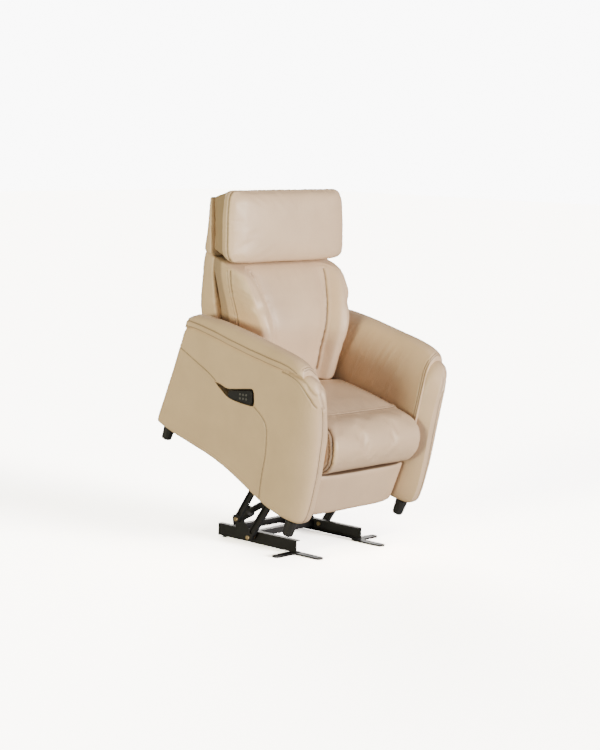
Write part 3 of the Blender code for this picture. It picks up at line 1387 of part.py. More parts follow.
def shell_ring(z, inset):
    """A level slice of the back shell: a U of even wall, open to the front."""
    t = (z - SHELL_LOW_Z) / (SHELL_HIGH_Z - SHELL_LOW_Z)
    half = mix(SHELL_HALF_LOW, SHELL_HALF_HIGH, step((t - 0.66) / 0.22)) - inset
    rear = shell_rear(z) - inset
    front = rear - mix(SHELL_DEPTH_LOW, SHELL_DEPTH_HIGH, step((t - 0.5) / 0.5)) + inset
    wall_low = SHELL_HALF_LOW - BACK_PLATE_X - BACK_PLATE_THICK - GAP
    inner = half - mix(wall_low, SHELL_WALL, step((t - 0.66) / 0.22)) + 2 * inset
    back = rear - SHELL_WALL + 2 * inset
    corner = SHELL_CORNER
    outer = [(half, front), (half, rear - corner)]
    outer += [(half - corner * 0.3, rear - corner * 0.3), (half - corner, rear)]
    hollow = [(inner - 0.03, back), (inner - 0.009, back - 0.009), (inner, back - 0.03), (inner, front)]
    outer += [(0.0, rear + 0.006)]
    right = outer + [(-x, y) for x, y in outer[-2::-1]]
    left = [(-x, y) for x, y in hollow[::-1]]
    left += [(0.0, back + 0.006)] + hollow
    return [(x, y, z) for x, y in right + left]


def build_back_shell(chair, mats):
    rings = []
    for t in (0.0, 0.02, 0.15, 0.35, 0.55, 0.66, 0.72, 0.77, 0.82, 0.88, 0.98, 1.0):
        inset = 0.003 if t in (0.0, 1.0) else 0.0
        rings.append(shell_ring(mix(SHELL_LOW_Z, SHELL_HIGH_Z, t), inset))
    add_object("back_shell", u_loft(rings), mats["leather"], chair, BACK_AXIS, sharp=50)


def u_loft(rings):
    """A skin over U-shaped rings, whose ends are closed by strips between the two legs."""
    mesh_data = bmesh.new()
    made = [[mesh_data.verts.new(p) for p in ring] for ring in rings]
    count = len(made[0])
    for low, high in zip(made, made[1:]):
        for i in range(count):
            j = (i + 1) % count
            mesh_data.faces.new((low[i], low[j], high[j], high[i]))
    for ring in (made[0], made[-1]):
        for i in range(count // 2 - 1):
            mesh_data.faces.new((ring[i], ring[i + 1], ring[count - 2 - i], ring[count - 1 - i]))
    return mesh_data


# Headrest
def head_ring(t, soft):
    """A slice of the pillow, level at its bottom and square to the lean at its top."""
    z = mix(HEAD_LOW_Z, HEAD_HIGH_Z, t)
    lean = HEAD_LEAN * (z - HEAD_LOW_Z)
    half = HEAD_HALF - soft * 0.6 - 0.010 * step(2 * t - 1)
    front, rear = HEAD_FRONT_Y + lean, HEAD_REAR_Y + lean
    ring = [(half - 0.014, rear), (0.0, rear), (-half + 0.014, rear), (-half, rear - 0.014)]
    ring.append((-half, rear - 0.036))
    for k in range(13):
        x = (k / 12 * 2 - 1) * (half - 0.010)
        f = abs(x) / half
        sag = 0.030 * max(0.0, (f - 0.72) / 0.28) ** 2.2 + 0.006 * f * f
        ring.append((x, min(rear - 0.04, front + soft + sag)))
    ring += [(half, rear - 0.036), (half, rear - 0.014)]
    drop = HEAD_LEAN * t
    return [(x, y + HEAD_LEAN * -drop * (y - front), z - drop * (y - front)) for x, y in ring]


def build_headrest(chair, mats):
    axis = (HEAD_AXIS_Y, HEAD_AXIS_Z)
    rings = []
    for t in (0.0, 0.02, 0.07, 0.15, 0.3, 0.5, 0.7, 0.85, 0.93, 0.98, 1.0):
        near = min(1.0, min(t, 1 - t) / 0.16)
        rings.append(head_ring(t, squeeze(near, 0.040)))
    add_object("headrest_cushion", loft(rings), mats["leather"], chair, axis, sharp=50)

    def rear_of_pillow(z):
        return HEAD_REAR_Y + HEAD_LEAN * (z - HEAD_LOW_Z) + GAP

    def front_of_shell(z):
        return shell_rear(SHELL_HIGH_Z) - CORE_DEPTH_LOW + 0.46 * (z - SHELL_HIGH_Z)

    outline = rounded(
        [
            (rear_of_pillow(CORE_LOW_Z), CORE_LOW_Z),
            (front_of_shell(CORE_LOW_Z) - GAP, CORE_LOW_Z),
            (front_of_shell(CORE_HIGH_Z) - GAP, CORE_HIGH_Z),
            (rear_of_pillow(CORE_FRONT_Z), CORE_FRONT_Z),
        ],
        0.004,
        2,
    )
    add_object("headrest_core", prism_x(outline, -CORE_HALF, CORE_HALF), mats["leather"], chair, axis)
    rings = []
    low = SHELL_HIGH_Z + HEAD_SHELL_GAP
    high = CORE_HIGH_Z
    for t in (0.0, 0.03, 0.3, 0.6, 0.85, 0.97, 1.0):
        z = mix(low, high, t)
        inset = 0.003 if t in (0.0, 1.0) else 0.0
        rear = shell_rear(SHELL_HIGH_Z) + 0.20 * (z - SHELL_HIGH_Z) - inset
        front = front_of_shell(z)
        half = HEAD_SHELL_HALF - inset - 0.004 * t
        corner = min(0.03, (rear - front) * 0.7)
        right = [(half, front), (half, rear - corner), (half - corner * 0.3, rear - corner * 0.3)]
        right += [(half - corner, rear), (0.0, rear + 0.006)]
        ring = right + [(-x, y) for x, y in right[-2::-1]] + [(0.0, front)]
        rings.append([(x, y, z) for x, y in ring])
    add_object("headrest_shell", loft(rings), mats["leather"], chair, axis, sharp=50)
    build_headrest_bracket(axis, chair, mats)


def build_headrest_bracket(axis, chair, mats):
    """A strip under the headrest core with two ears that turn on the hinge rod."""
    top = CORE_LOW_Z - GAP
    half = BACK_PLATE_X - HEAD_EAR_INSET
    low = (-half, HEAD_AXIS_Y - 0.006, top - EAR_THICK)
    strip_plate = box(low, (half, HEAD_AXIS_Y + HEAD_STRIP_REACH, top))
    bracket = add_object("headrest_hinge_bracket", strip_plate, mats["steel"], chair, axis)
    holes = bmesh.new()
    for word, side in SIDES:
        ear = rounded_ear((HEAD_AXIS_Y + 0.006, top - EAR_THICK / 2), axis, 0.012)
        inner, outer = side * (half - 0.010), side * (half - 0.010 - EAR_THICK)
        weld(bracket, f"headrest_ear_{word}", prism_x(ear, inner, outer), axis)
        prism_x(circle(axis, HEAD_ROD_R + RUN), inner + side * 0.01, outer - side * 0.01, holes)
    cut(bracket, "headrest_ear_holes", holes, axis)


# Actuators
def build_actuator(name, x, tail, head, stroke, parent, mats):
    """A motor housing with its guide tube and trunnion, and the rod that slides in it."""
    way = heading(tail, head)
    length = span(tail, head)
    shortest = length + min(0.0, stroke)
    tube_end = shortest * 0.72
    motor_end = 0.022 + shortest * 0.12
    bore_start = motor_end + 0.026

    def at(distance):
        return (x, *plus(tail, along(way, distance)))

    profile = ((0.0, 0.010), (0.016, 0.010), (0.022, MOTOR_R), (motor_end, MOTOR_R))
    profile += ((motor_end + 0.008, TUBE_R), (tube_end, TUBE_R))
    housing = lathe(at(0), at(1), profile)
    housing = add_object(f"{name}_actuator_housing", housing, mats["motor"], parent, tail)
    weld(housing, f"{name}_tail_eye", prism_x(circle(tail, 0.012), x - TUBE_R, x + TUBE_R), tail)
    end = TUBE_R + LANE_GAP + EAR_THICK + 0.002
    weld(housing, f"{name}_trunnion", lathe_x(((x - end, PIN_R), (x + end, PIN_R)), tail), tail)
    bore = lathe(at(bore_start), at(length), ((0.0, ROD_R + RUN), (tube_end, ROD_R + RUN)))
    cut(housing, f"{name}_bore", bore, tail)
    rod_start = bore_start + 0.004 + max(0.0, -stroke)
    rod = lathe(at(rod_start), at(length), ((0.0, ROD_R), (length - rod_start - 0.012, ROD_R)))
    return add_object(f"{name}_actuator_rod", rod, mats["zinc"], parent, tail)


def add_fork(rod, name, x, tail, head):
    """A fork at a rod's end, with a pin across it for the slotted lever between its cheeks."""
    way = heading(tail, head)
    half_gap = EAR_THICK / 2 + LANE_GAP
    half = half_gap + EAR_THICK
    cheeks = stadium(minus(head, along(way, FORK_ROOT)), head, ROD_R + 0.001)
    weld(rod, f"{name}_fork", prism_x(cheeks, x - half, x + half), tail)
    slot = stadium(minus(head, along(way, FORK_SLOT)), plus(head, along(way, FORK_SLOT)), 0.019)
    cut(rod, f"{name}_fork_slot", prism_x(slot, x - half_gap, x + half_gap), tail)
    weld(rod, f"{name}_fork_pin", lathe_x(((x - half, PIN_R), (x + half, PIN_R)), head), tail)


def add_lift_eye(rod):
    """The lift rod ends in a wide eye about the front cross tube, with room for the open pivot."""
    path = rod_path(LIFT_TAIL, LIFT_HEAD_RAISED, LIFT_SWING, LIFT_STROKE)
    heads = []
    for t in STEPS:
        tilt, feet = lift_state(t)
        heads.append(plus(turned(LIFT_HEAD, tilt), feet))
    off = max(span(a, b) for a, b in zip(path, heads))
    room = FRAME_TUBE_R + off + 3 * RUN
    wide = TUBE_R
    eye = prism_x(circle(LIFT_HEAD_RAISED, room + 0.006, 20), LIFT_X - wide, LIFT_X + wide)
    weld(rod, "lift_eye", eye, LIFT_TAIL)
    hole = prism_x(circle(LIFT_HEAD_RAISED, room, 20), LIFT_X - 0.05, LIFT_X + 0.05)
    cut(rod, "lift_eye_hole", hole, LIFT_TAIL)


def build_actuators(root, chair, mats):
    add_lift_eye(build_actuator("lift", LIFT_X, LIFT_TAIL, LIFT_HEAD_RAISED, LIFT_STROKE, root, mats))
    for name, x, tail, head, stroke in (
        ("recline", RECLINE_X, RECLINE_TAIL, LEVER_END, RECLINE_STROKE),
        ("footrest", CRANK_X, FOOT_TAIL, CRANK_END, FOOT_STROKE),
    ):
        add_fork(build_actuator(name, x, tail, head, stroke, chair, mats), name, x, tail, head)


def build_control_box(chair, mats):
    top = FRAME_Z - GAP
    outline = rounded(
        [
            (BOX_X - BOX_LENGTH / 2, BOX_Y - BOX_DEPTH / 2),
            (BOX_X + BOX_LENGTH / 2, BOX_Y - BOX_DEPTH / 2),
            (BOX_X + BOX_LENGTH / 2, BOX_Y + BOX_DEPTH / 2),
            (BOX_X - BOX_LENGTH / 2, BOX_Y + BOX_DEPTH / 2),
        ],
        0.010,
    )
    body = prism([(x, y, top - BOX_HEIGHT) for x, y in outline], (0, 0, BOX_HEIGHT))
    case = add_object("control_box", body, mats["plastic"], chair)
    inlet = box(
        (BOX_X - 0.011, BOX_Y + BOX_DEPTH / 2 - 0.016, top - BOX_HEIGHT / 2 - 0.007),
        (BOX_X + 0.011, BOX_Y + BOX_DEPTH / 2 + 0.010, top - BOX_HEIGHT / 2 + 0.007),
    )
    cut(case, "power_inlet", inlet)


def stand_on_origin(root):
    """Moves the whole model so that its origin is under the middle of its footprint."""
    bpy.context.view_layer.update()
    graph = bpy.context.evaluated_depsgraph_get()
    reach = []
    for obj in bpy.data.objects:
        if obj.type in ("MESH", "CURVE") and not obj.hide_render:
            shown = obj.evaluated_get(graph)
            mesh = shown.to_mesh()
            reach += [(shown.matrix_world @ v.co).y for v in mesh.vertices]
            shown.to_mesh_clear()
    root.location.y -= (min(reach) + max(reach)) / 2


def main():
    clear_scene()
    mats = make_materials()
    root = make_empty("recliner")
    chair = make_empty("raised_chair", root, (0, FEET_RAISED_Y, FEET_RAISED_Z), TILT)
    build_rails(root, mats)
    build_base_tubes(root, mats)
    build_base_bolts(root, mats)
    build_links(root, mats)
    build_lift_frame(chair, mats)
    build_seat_frame(chair, mats)
    build_springs(chair, mats)
    build_seat(chair, mats)
    build_arms(chair, mats)
    build_feet(chair, mats)
    build_handset(chair, mats)
    build_footrest(chair, mats)
    build_back_cushion(chair, mats)
    build_back_frame(chair, mats)
    build_back_hinge(chair, mats)
    build_back_shell(chair, mats)
    build_headrest(chair, mats)
    build_actuators(root, chair, mats)
    build_control_box(chair, mats)
    stand_on_origin(root)


main()
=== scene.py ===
"""Looks of a power lift recliner: leather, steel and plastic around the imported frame."""
import math

import bmesh
import bpy
import numpy as np
from mathutils import Matrix, Vector, noise
from mathutils.bvhtree import BVHTree
from mathutils.kdtree import KDTree


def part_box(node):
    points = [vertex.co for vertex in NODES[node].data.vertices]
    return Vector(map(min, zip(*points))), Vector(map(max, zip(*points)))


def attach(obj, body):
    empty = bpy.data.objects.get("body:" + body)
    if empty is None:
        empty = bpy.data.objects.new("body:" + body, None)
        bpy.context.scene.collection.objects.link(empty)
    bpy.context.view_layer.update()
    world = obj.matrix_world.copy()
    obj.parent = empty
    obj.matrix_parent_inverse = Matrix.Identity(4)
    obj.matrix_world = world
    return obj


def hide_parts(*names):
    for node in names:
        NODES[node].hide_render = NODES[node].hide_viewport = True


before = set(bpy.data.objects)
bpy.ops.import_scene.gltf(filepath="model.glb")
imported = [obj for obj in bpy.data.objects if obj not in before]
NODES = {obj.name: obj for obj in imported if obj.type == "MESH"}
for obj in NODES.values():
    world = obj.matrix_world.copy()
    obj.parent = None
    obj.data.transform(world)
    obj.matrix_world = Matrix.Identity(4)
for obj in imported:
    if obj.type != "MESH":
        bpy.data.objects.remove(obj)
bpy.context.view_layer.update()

# The raised chair's own frame: level chair coordinates to the room
TILT = 0.386765
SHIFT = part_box("base_rail_left")[0].y + 0.13
CHAIR = Matrix.Translation((0, SHIFT - 0.0776, 0.1123)) @ Matrix.Rotation(TILT, 4, "X")
LEVEL = CHAIR.inverted()
SIDES = (("left", 1), ("right", -1))

# Arm form, level chair
ARM_LOW, ARM_TOP = 0.065, 0.676
ARM_IN, ARM_OUT, ARM_FLARE = 0.2625, 0.381, 0.026
ARM_REAR, LOBE_BACK, PAD_LOW = 0.795, 0.105, 0.312
PAD_SEAT = 0.046
CREST_STOPS = (0.06, 0.105, 0.165, 0.20, 0.25, 0.36, 0.47, 0.54, 0.61, 0.70, 0.795)
CREST_LEVELS = (0.665, 0.678, 0.685, 0.684, 0.679, 0.665, 0.649, 0.637, 0.623, 0.600, 0.570)
FRONT_LEVELS = (0.065, 0.085, 0.11, 0.16, 0.30, 0.38, 0.46, 0.545, 0.60, 0.63, 0.655)
FRONT_STOPS = (-0.048, -0.066, -0.072, -0.069, -0.049, -0.032, -0.014, 0.005, 0.019, 0.033, 0.057)
EDGE_LEVELS = (0.30, 0.457, 0.51, 0.57, 0.62, 0.67, 0.70)
EDGE_STOPS = (0.005, 0.034, 0.048, 0.069, 0.090, 0.110, 0.114)
SEAM_STOPS = (0.06, 0.16, 0.22, 0.284, 0.392, 0.508, 0.631, 0.736, 0.795)
SEAM_DROPS = (0.066, 0.064, 0.067, 0.073, 0.078, 0.078, 0.069, 0.060, 0.056)
TAPER_STOPS = (0.11, 0.14, 0.17, 0.215)
TAPER_LIFTS = (0.030, 0.023, 0.011, 0.0)
CORNER, FACING = 0.052, 0.036

# Where the arms' rear caps begin, and how far a stitch row runs beside its seam
CAP_START, STITCH_ASIDE = 0.74, 0.0065

# Handset pocket, level chair: its middle, its slope and its depth from the arm's outer skin
POCKET_Y, POCKET_Z, POCKET_RISE, POCKET_DEPTH = 0.381, 0.412, math.radians(-22.0), 0.0402


def mix(a, b, t):
    return a + (b - a) * t


def step(t):
    t = min(1.0, max(0.0, t))
    return t * t * (3 - 2 * t)


def soft_step(values):
    t = np.clip(values, 0.0, 1.0)
    return t * t * (3 - 2 * t)


def squeeze(t, edge):
    return edge * (1 - math.sqrt(max(0.0, 1 - (1 - min(1.0, t)) ** 2)))


# Meshes
def add_piece(name, mesh, mat, body):
    mesh.transform(CHAIR)
    piece = bpy.data.objects.new(name, mesh)
    bpy.context.scene.collection.objects.link(piece)
    mesh.materials.clear()
    mesh.materials.append(mat)
    for face in mesh.polygons:
        face.use_smooth = True
    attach(piece, body)
    return piece


def with_modifiers(mesh, *mods):
    """The mesh after these modifiers, each a kind and its settings."""
    carrier = bpy.data.objects.new("carrier", mesh)
    bpy.context.scene.collection.objects.link(carrier)
    for kind, settings in mods:
        mod = carrier.modifiers.new(kind.lower(), kind)
        for key, value in settings.items():
            setattr(mod, key, value)
    graph = bpy.context.evaluated_depsgraph_get()
    out = bpy.data.meshes.new_from_object(carrier.evaluated_get(graph))
    bpy.data.objects.remove(carrier)
    return out


def mesh_of(bm):
    mesh = bpy.data.meshes.new("made")
    bm.to_mesh(mesh)
    bm.free()
    return mesh


def cage(rings, level):
    """A subdivided quad skin over closed rings, its two ends closed by bridges across the ring."""
    bm = bmesh.new()
    made = [[bm.verts.new(p) for p in ring] for ring in rings]
    n = len(made[0])
    for low, high in zip(made, made[1:]):
        for i in range(n):
            j = (i + 1) % n
            bm.faces.new((low[i], low[j], high[j], high[i]))
    for ring in (made[0], made[-1]):
        for i in range(n // 2 - 1):
            bm.faces.new((ring[i], ring[i + 1], ring[n - 2 - i], ring[n - 1 - i]))
    bmesh.ops.recalc_face_normals(bm, faces=bm.faces)
    return with_modifiers(mesh_of(bm), ("SUBSURF", {"levels": level, "render_levels": level}))


def soft_copy(node, voxel, rounds):
    """A CAD soft solid in level chair coordinates, remeshed evenly and rubbed smooth."""
    mesh = NODES[node].data.copy()
    mesh.transform(LEVEL)
    remesh = ("REMESH", {"mode": "VOXEL", "voxel_size": voxel})
    return with_modifiers(mesh, remesh, ("SMOOTH", {"factor": 0.5, "iterations": rounds}))


def coords(mesh):
    co = np.empty(len(mesh.vertices) * 3)
    mesh.vertices.foreach_get("co", co)
    return co.reshape(-1, 3)


def normals(mesh):
    out = np.empty(len(mesh.vertices) * 3)
    mesh.vertex_normals.foreach_get("vector", out)
    return out.reshape(-1, 3)


def set_coords(mesh, co):
    mesh.vertices.foreach_set("co", np.asarray(co, float).ravel())
    mesh.update()


def tree_of(mesh):
    return BVHTree.FromPolygons([v.co for v in mesh.vertices], [f.vertices for f in mesh.polygons])


# Lines on the leather
def smooth_line(points, gap=0.002, closed=False):
    """Close-set points on a smooth curve through the given ones."""
    pts = [Vector(p) for p in points]
    n = len(pts)
    out = []
    for i in range(n if closed else n - 1):
        if closed:
            a, b, c, d = (pts[(i + k) % n] for k in (-1, 0, 1, 2))
        else:
            a, b, c, d = pts[max(0, i - 1)], pts[i], pts[i + 1], pts[min(n - 1, i + 2)]
        count = max(2, int((c - b).length / gap))
        for k in range(count):
            t = k / count
            out.append(0.5 * (2 * b + (c - a) * t + (2 * a - 5 * b + 4 * c - d) * t * t
                              + (3 * b - a - 3 * c + d) * t ** 3))
    return out if closed else out + [pts[-1]]


def laid(line, tree, way=None):
    """The line put on the skin: along a direction from outside, or to the nearest place."""
    out = []
    for p in line:
        if way:
            spot = tree.ray_cast(p - Vector(way) * 0.4, Vector(way))[0]
        else:
            spot = tree.find_nearest(p)[0]
        if spot:
            out.append(spot)
    return out


def beside(line, tree, offset):
    """A line on the skin at a distance to one side of another."""
    out = []
    for i, p in enumerate(line):
        run = line[min(i + 2, len(line) - 1)] - line[max(i - 2, 0)]
        side = tree.find_nearest(p)[1].cross(run).normalized()
        out.append(tree.find_nearest(p + side * offset)[0])
    return out


def kd_of(points):
    kd = KDTree(len(points))
    for i, p in enumerate(points):
        kd.insert(p, i)
    kd.balance()
    return kd


def distances(mesh, line):
    kd = kd_of(line)
    return np.array([kd.find(v.co)[2] for v in mesh.vertices])


def refine(mesh, lines, reach=0.012, size=0.0034):
    """Splits the faces near these lines until a fine groove can follow them."""
    kd = kd_of([p for line in lines for p in line])
    bm = bmesh.new()
    bm.from_mesh(mesh)
    for _ in range(3):
        split = []
        for edge in bm.edges:
            length = edge.calc_length()
            if length > size and kd.find((edge.verts[0].co + edge.verts[1].co) / 2)[2] < reach:
                split.append(edge)
        if not split:
            break
        bmesh.ops.subdivide_edges(bm, edges=split, cuts=1, use_grid_fill=True)
        near = [v for v in bm.verts if kd.find(v.co)[2] < reach]
        bmesh.ops.smooth_vert(bm, verts=near, factor=0.4, use_axis_x=True, use_axis_y=True, use_axis_z=True)
    bm.to_mesh(mesh)
    bm.free()


# The crease attribute holds painted shade per vertex, from 0 to 1, that the leather mixes towards a dark
# colour.
def crease_of(mesh):
    layer = mesh.attributes.get("crease")
    if layer is None:
        layer = mesh.attributes.new("crease", "FLOAT", "POINT")
    values = np.zeros(len(mesh.vertices), np.float32)
    layer.data.foreach_get("value", values)
    return layer, values


def groove(mesh, line, depth, width, puff=0.0, shade_amount=0.8):
    """Presses a sewn line into the skin, with the stuffing swelling up beside it, and paints shade along
    the line.
    """
    d = distances(mesh, line)
    move = puff * np.exp(-((d - 2.6 * width) / (1.6 * width)) ** 2) - depth * np.exp(-(d / width) ** 2)
    set_coords(mesh, coords(mesh) + normals(mesh) * move[:, None])
    layer, values = crease_of(mesh)
    values = np.maximum(values, shade_amount * np.exp(-(d / (0.85 * width)) ** 2))
    layer.data.foreach_set("value", values.astype(np.float32))


def shadow(mesh, amount):
    """Paints shade into a skin where it turns into a narrow gap."""
    layer, values = crease_of(mesh)
    layer.data.foreach_set("value", np.maximum(values, amount).astype(np.float32))


def pucker(mesh, line, reach, height, pitch, seed):
    """Small pulls in the leather that run away from a sewn line."""
    kd = kd_of(line)
    along = np.concatenate(([0.0], np.cumsum([(b - a).length for a, b in zip(line, line[1:])])))
    move = np.zeros(len(mesh.vertices))
    for i, v in enumerate(mesh.vertices):
        _, k, d = kd.find(v.co)
        if d < 3 * reach:
            wave = noise.noise(Vector((along[k] / pitch, seed, d * 18)))
            move[i] = height * wave * math.exp(-(d / reach) ** 2) * min(1.0, d / 0.004)
    set_coords(mesh, coords(mesh) + normals(mesh) * move[:, None])


def ripple(mesh, height, scale, seed):
    """The slow unevenness of stuffed leather."""
    move = np.array([noise.noise(v.co * scale + Vector((seed, 0, 0))) for v in mesh.vertices])
    set_coords(mesh, coords(mesh) + normals(mesh) * (height * move)[:, None])


def hang(mesh, height, seed):
    """Upright pulls in leather that hangs down the inside of an arm."""
    co = coords(mesh)
    move = np.array([noise.noise(Vector((y * 62, z * 7, seed))) for _, y, z in co])
    move *= height * soft_step((0.335 - np.abs(co[:, 0])) / 0.03)
    set_coords(mesh, co + normals(mesh) * move[:, None])


def piping(line, radius, sides=8):
    """A round cord of leather along a closed line."""
    bm = bmesh.new()
    rings = []
    for i, p in enumerate(line):
        turn = (line[(i + 1) % len(line)] - line[i - 1]).to_track_quat("Z", "Y")
        ring = []
        for k in range(sides):
            angle = 2 * math.pi * k / sides
            ring.append(bm.verts.new(p + turn @ Vector((math.cos(angle), math.sin(angle), 0)) * radius))
        rings.append(ring)
    for low, high in zip(rings, rings[1:] + rings[:1]):
        shift = 0
        if low is rings[-1]:
            shift = min(range(sides), key=lambda s: (high[s].co - low[0].co).length)
        for k in range(sides):
            j = (k + 1) % sides
            bm.faces.new((low[k], low[j], high[(j + shift) % sides], high[(k + shift) % sides]))
    bmesh.ops.recalc_face_normals(bm, faces=bm.faces)
    return bm


def stitches(bm, line, tree, pitch=0.0062, length=0.0042, width=0.0010):
    """A row of sewing along a line: short rounded bars that stand just out of the skin."""
    walked, last = 0.0, None
    for a, b in zip(line, line[1:]):
        walked += (b - a).length
        if last is not None and walked - last < pitch:
            continue
        last = walked
        spot, normal = tree.find_nearest(b)[:2]
        run = (b - a).normalized()
        side = normal.cross(run).normalized()
        rows = []
        for where, thick in ((-0.5, 0.35), (-0.3, 1.0), (0.3, 1.0), (0.5, 0.35)):
            middle = spot + run * where * length
            corners = ((-1, -0.4), (-0.6, 0.75), (0.6, 0.75), (1, -0.4))
            half = 0.5 * width * thick
            rows.append([bm.verts.new(middle + (side * u + normal * v) * half) for u, v in corners])
        for low, high in zip(rows, rows[1:]):
            for k in range(3):
                bm.faces.new((low[k], low[k + 1], high[k + 1], high[k]))
            bm.faces.new((low[3], low[0], high[0], high[3]))
        bm.faces.new(rows[0][::-1])
        bm.faces.new(rows[-1])


# Stuffed cushions
CLOTH_FRAMES, HOLD_STEPS = 20, 10
CLOTH_SHRINK, CLOTH_SLACK, CLOTH_PRESSURE, CLOTH_CAP = 0.0015, 0.006, 3.0, 0.024


def held_at(d, width):
    """How firmly a seam holds the leather at these distances from it."""
    return np.clip(1.6 * np.exp(-(d / width) ** 2), 0, 1)


def inflated(mesh, hold, share=1.0):
    """Swells a cushion as stuffed leather does; hold says, from 0 to 1, where it is held,
    and share how much of the swelling is kept."""
    co = coords(mesh)
    set_coords(mesh, co - normals(mesh) * (CLOTH_SHRINK * (1 - hold))[:, None])
    start = coords(mesh)
    cushion = bpy.data.objects.new("cushion", mesh)
    bpy.context.scene.collection.objects.link(cushion)
    group = cushion.vertex_groups.new(name="held")
    levels = np.round(hold * HOLD_STEPS).astype(int)
    for level in range(1, HOLD_STEPS + 1):
        group.add([int(i) for i in np.nonzero(levels == level)[0]], level / HOLD_STEPS, "REPLACE")
    cloth = cushion.modifiers.new("cloth", "CLOTH")
    skin = cloth.settings
    skin.quality = 4
    skin.mass = 0.35
    skin.tension_stiffness = 12
    skin.compression_stiffness = 12
    skin.shear_stiffness = 6
    skin.bending_stiffness = 6.0
    skin.shrink_min = -CLOTH_SLACK
    skin.vertex_group_mass = "held"
    skin.use_pressure = True
    skin.uniform_pressure_force = CLOTH_PRESSURE
    skin.effector_weights.gravity = 0
    cloth.point_cache.frame_start = 1
    cloth.point_cache.frame_end = CLOTH_FRAMES
    scene = bpy.context.scene
    for number in range(1, CLOTH_FRAMES + 1):
        scene.frame_set(number)
    graph = bpy.context.evaluated_depsgraph_get()
    out = bpy.data.meshes.new_from_object(cushion.evaluated_get(graph))
    move = coords(out) - start
    far = np.maximum(np.linalg.norm(move, axis=1), 1e-9)
    set_coords(out, start + move * (share * np.minimum(1.0, CLOTH_CAP / far))[:, None])
    bpy.data.objects.remove(cushion)
    scene.frame_set(1)
    return with_modifiers(out, ("SMOOTH", {"factor": 0.5, "iterations": 6}))


def finer(mesh):
    return with_modifiers(mesh, ("SUBSURF", {"levels": 1, "render_levels": 1}))


# Materials
def material(name, colour, rough, metal=0.0, bump=(), tint=0.0, vary=0.0):
    """A principled material; bump is a list of (kind, scale, strength), tint varies the colour
    and vary the roughness."""
    mat = bpy.data.materials.new(name)
    mat.use_nodes = True
    tree = mat.node_tree
    shader = tree.nodes["Principled BSDF"]
    shader.inputs["Base Color"].default_value = (*colour, 1)
    shader.inputs["Roughness"].default_value = rough
    shader.inputs["Metallic"].default_value = metal
    place = tree.nodes.new("ShaderNodeTexCoord")
    if tint:
        cloud = tree.nodes.new("ShaderNodeTexNoise")
        cloud.inputs["Scale"].default_value = 9.0
        cloud.inputs["Detail"].default_value = 5.0
        tree.links.new(place.outputs["Object"], cloud.inputs["Vector"])
        ramp = tree.nodes.new("ShaderNodeValToRGB")
        ramp.color_ramp.elements[0].position = 0.3
        ramp.color_ramp.elements[1].position = 0.7
        ramp.color_ramp.elements[0].color = (*(c * (1 - tint) for c in colour), 1)
        ramp.color_ramp.elements[1].color = (*(min(1, c * (1 + tint)) for c in colour), 1)
        tree.links.new(cloud.outputs["Fac"], ramp.inputs["Fac"])
        tree.links.new(ramp.outputs["Color"], shader.inputs["Base Color"])
    if vary:
        patch = tree.nodes.new("ShaderNodeTexNoise")
        patch.inputs["Scale"].default_value = 26.0
        patch.inputs["Detail"].default_value = 4.0
        tree.links.new(place.outputs["Object"], patch.inputs["Vector"])
        span = tree.nodes.new("ShaderNodeMapRange")
        span.inputs["To Min"].default_value = rough - vary
        span.inputs["To Max"].default_value = rough + vary
        tree.links.new(patch.outputs["Fac"], span.inputs["Value"])
        tree.links.new(span.outputs["Result"], shader.inputs["Roughness"])
    last = None
    for kind, scale, strength in bump:
        if kind == "cells":
            tex = tree.nodes.new("ShaderNodeTexVoronoi")
            tex.feature = "DISTANCE_TO_EDGE"
            value = tex.outputs["Distance"]
        else:
            tex = tree.nodes.new("ShaderNodeTexNoise")
            tex.inputs["Detail"].default_value = 3.0
            value = tex.outputs["Fac"]
        tex.inputs["Scale"].default_value = scale
        tree.links.new(place.outputs["Object"], tex.inputs["Vector"])
        node = tree.nodes.new("ShaderNodeBump")
        node.inputs["Strength"].default_value = strength
        node.inputs["Distance"].default_value = 0.3 / scale
        tree.links.new(value, node.inputs["Height"])
        if last:
            tree.links.new(last, node.inputs["Normal"])
        last = node.outputs["Normal"]
    if last:
        tree.links.new(last, shader.inputs["Normal"])
    return mat


def darker_in_creases(mat, colour):
    """Mixes the leather's colour towards a painted shade colour where the crease attribute is high."""
    tree = mat.node_tree
    shader = tree.nodes["Principled BSDF"]
    source = shader.inputs["Base Color"].links[0].from_socket
    crease = tree.nodes.new("ShaderNodeAttribute")
    crease.attribute_name = "crease"
    blend = tree.nodes.new("ShaderNodeMix")
    blend.data_type = "RGBA"
    tree.links.new(crease.outputs["Fac"], blend.inputs[0])
    tree.links.new(source, blend.inputs[6])
    blend.inputs[7].default_value = (*colour, 1)
    tree.links.new(blend.outputs[2], shader.inputs["Base Color"])


def speckle(scale, strength):
    return (("noise", scale, strength),)


GRAIN = (("noise", 55.0, 0.05), ("cells", 620.0, 0.10))
# Painted shade colour that seams, gaps, the pocket and downward faces are mixed towards.
PAINTED_SHADE_COLOUR = (0.08, 0.046, 0.024)
LEATHER = material("beige_leather", (0.62, 0.45, 0.293), 0.44, bump=GRAIN, tint=0.045, vary=0.05)
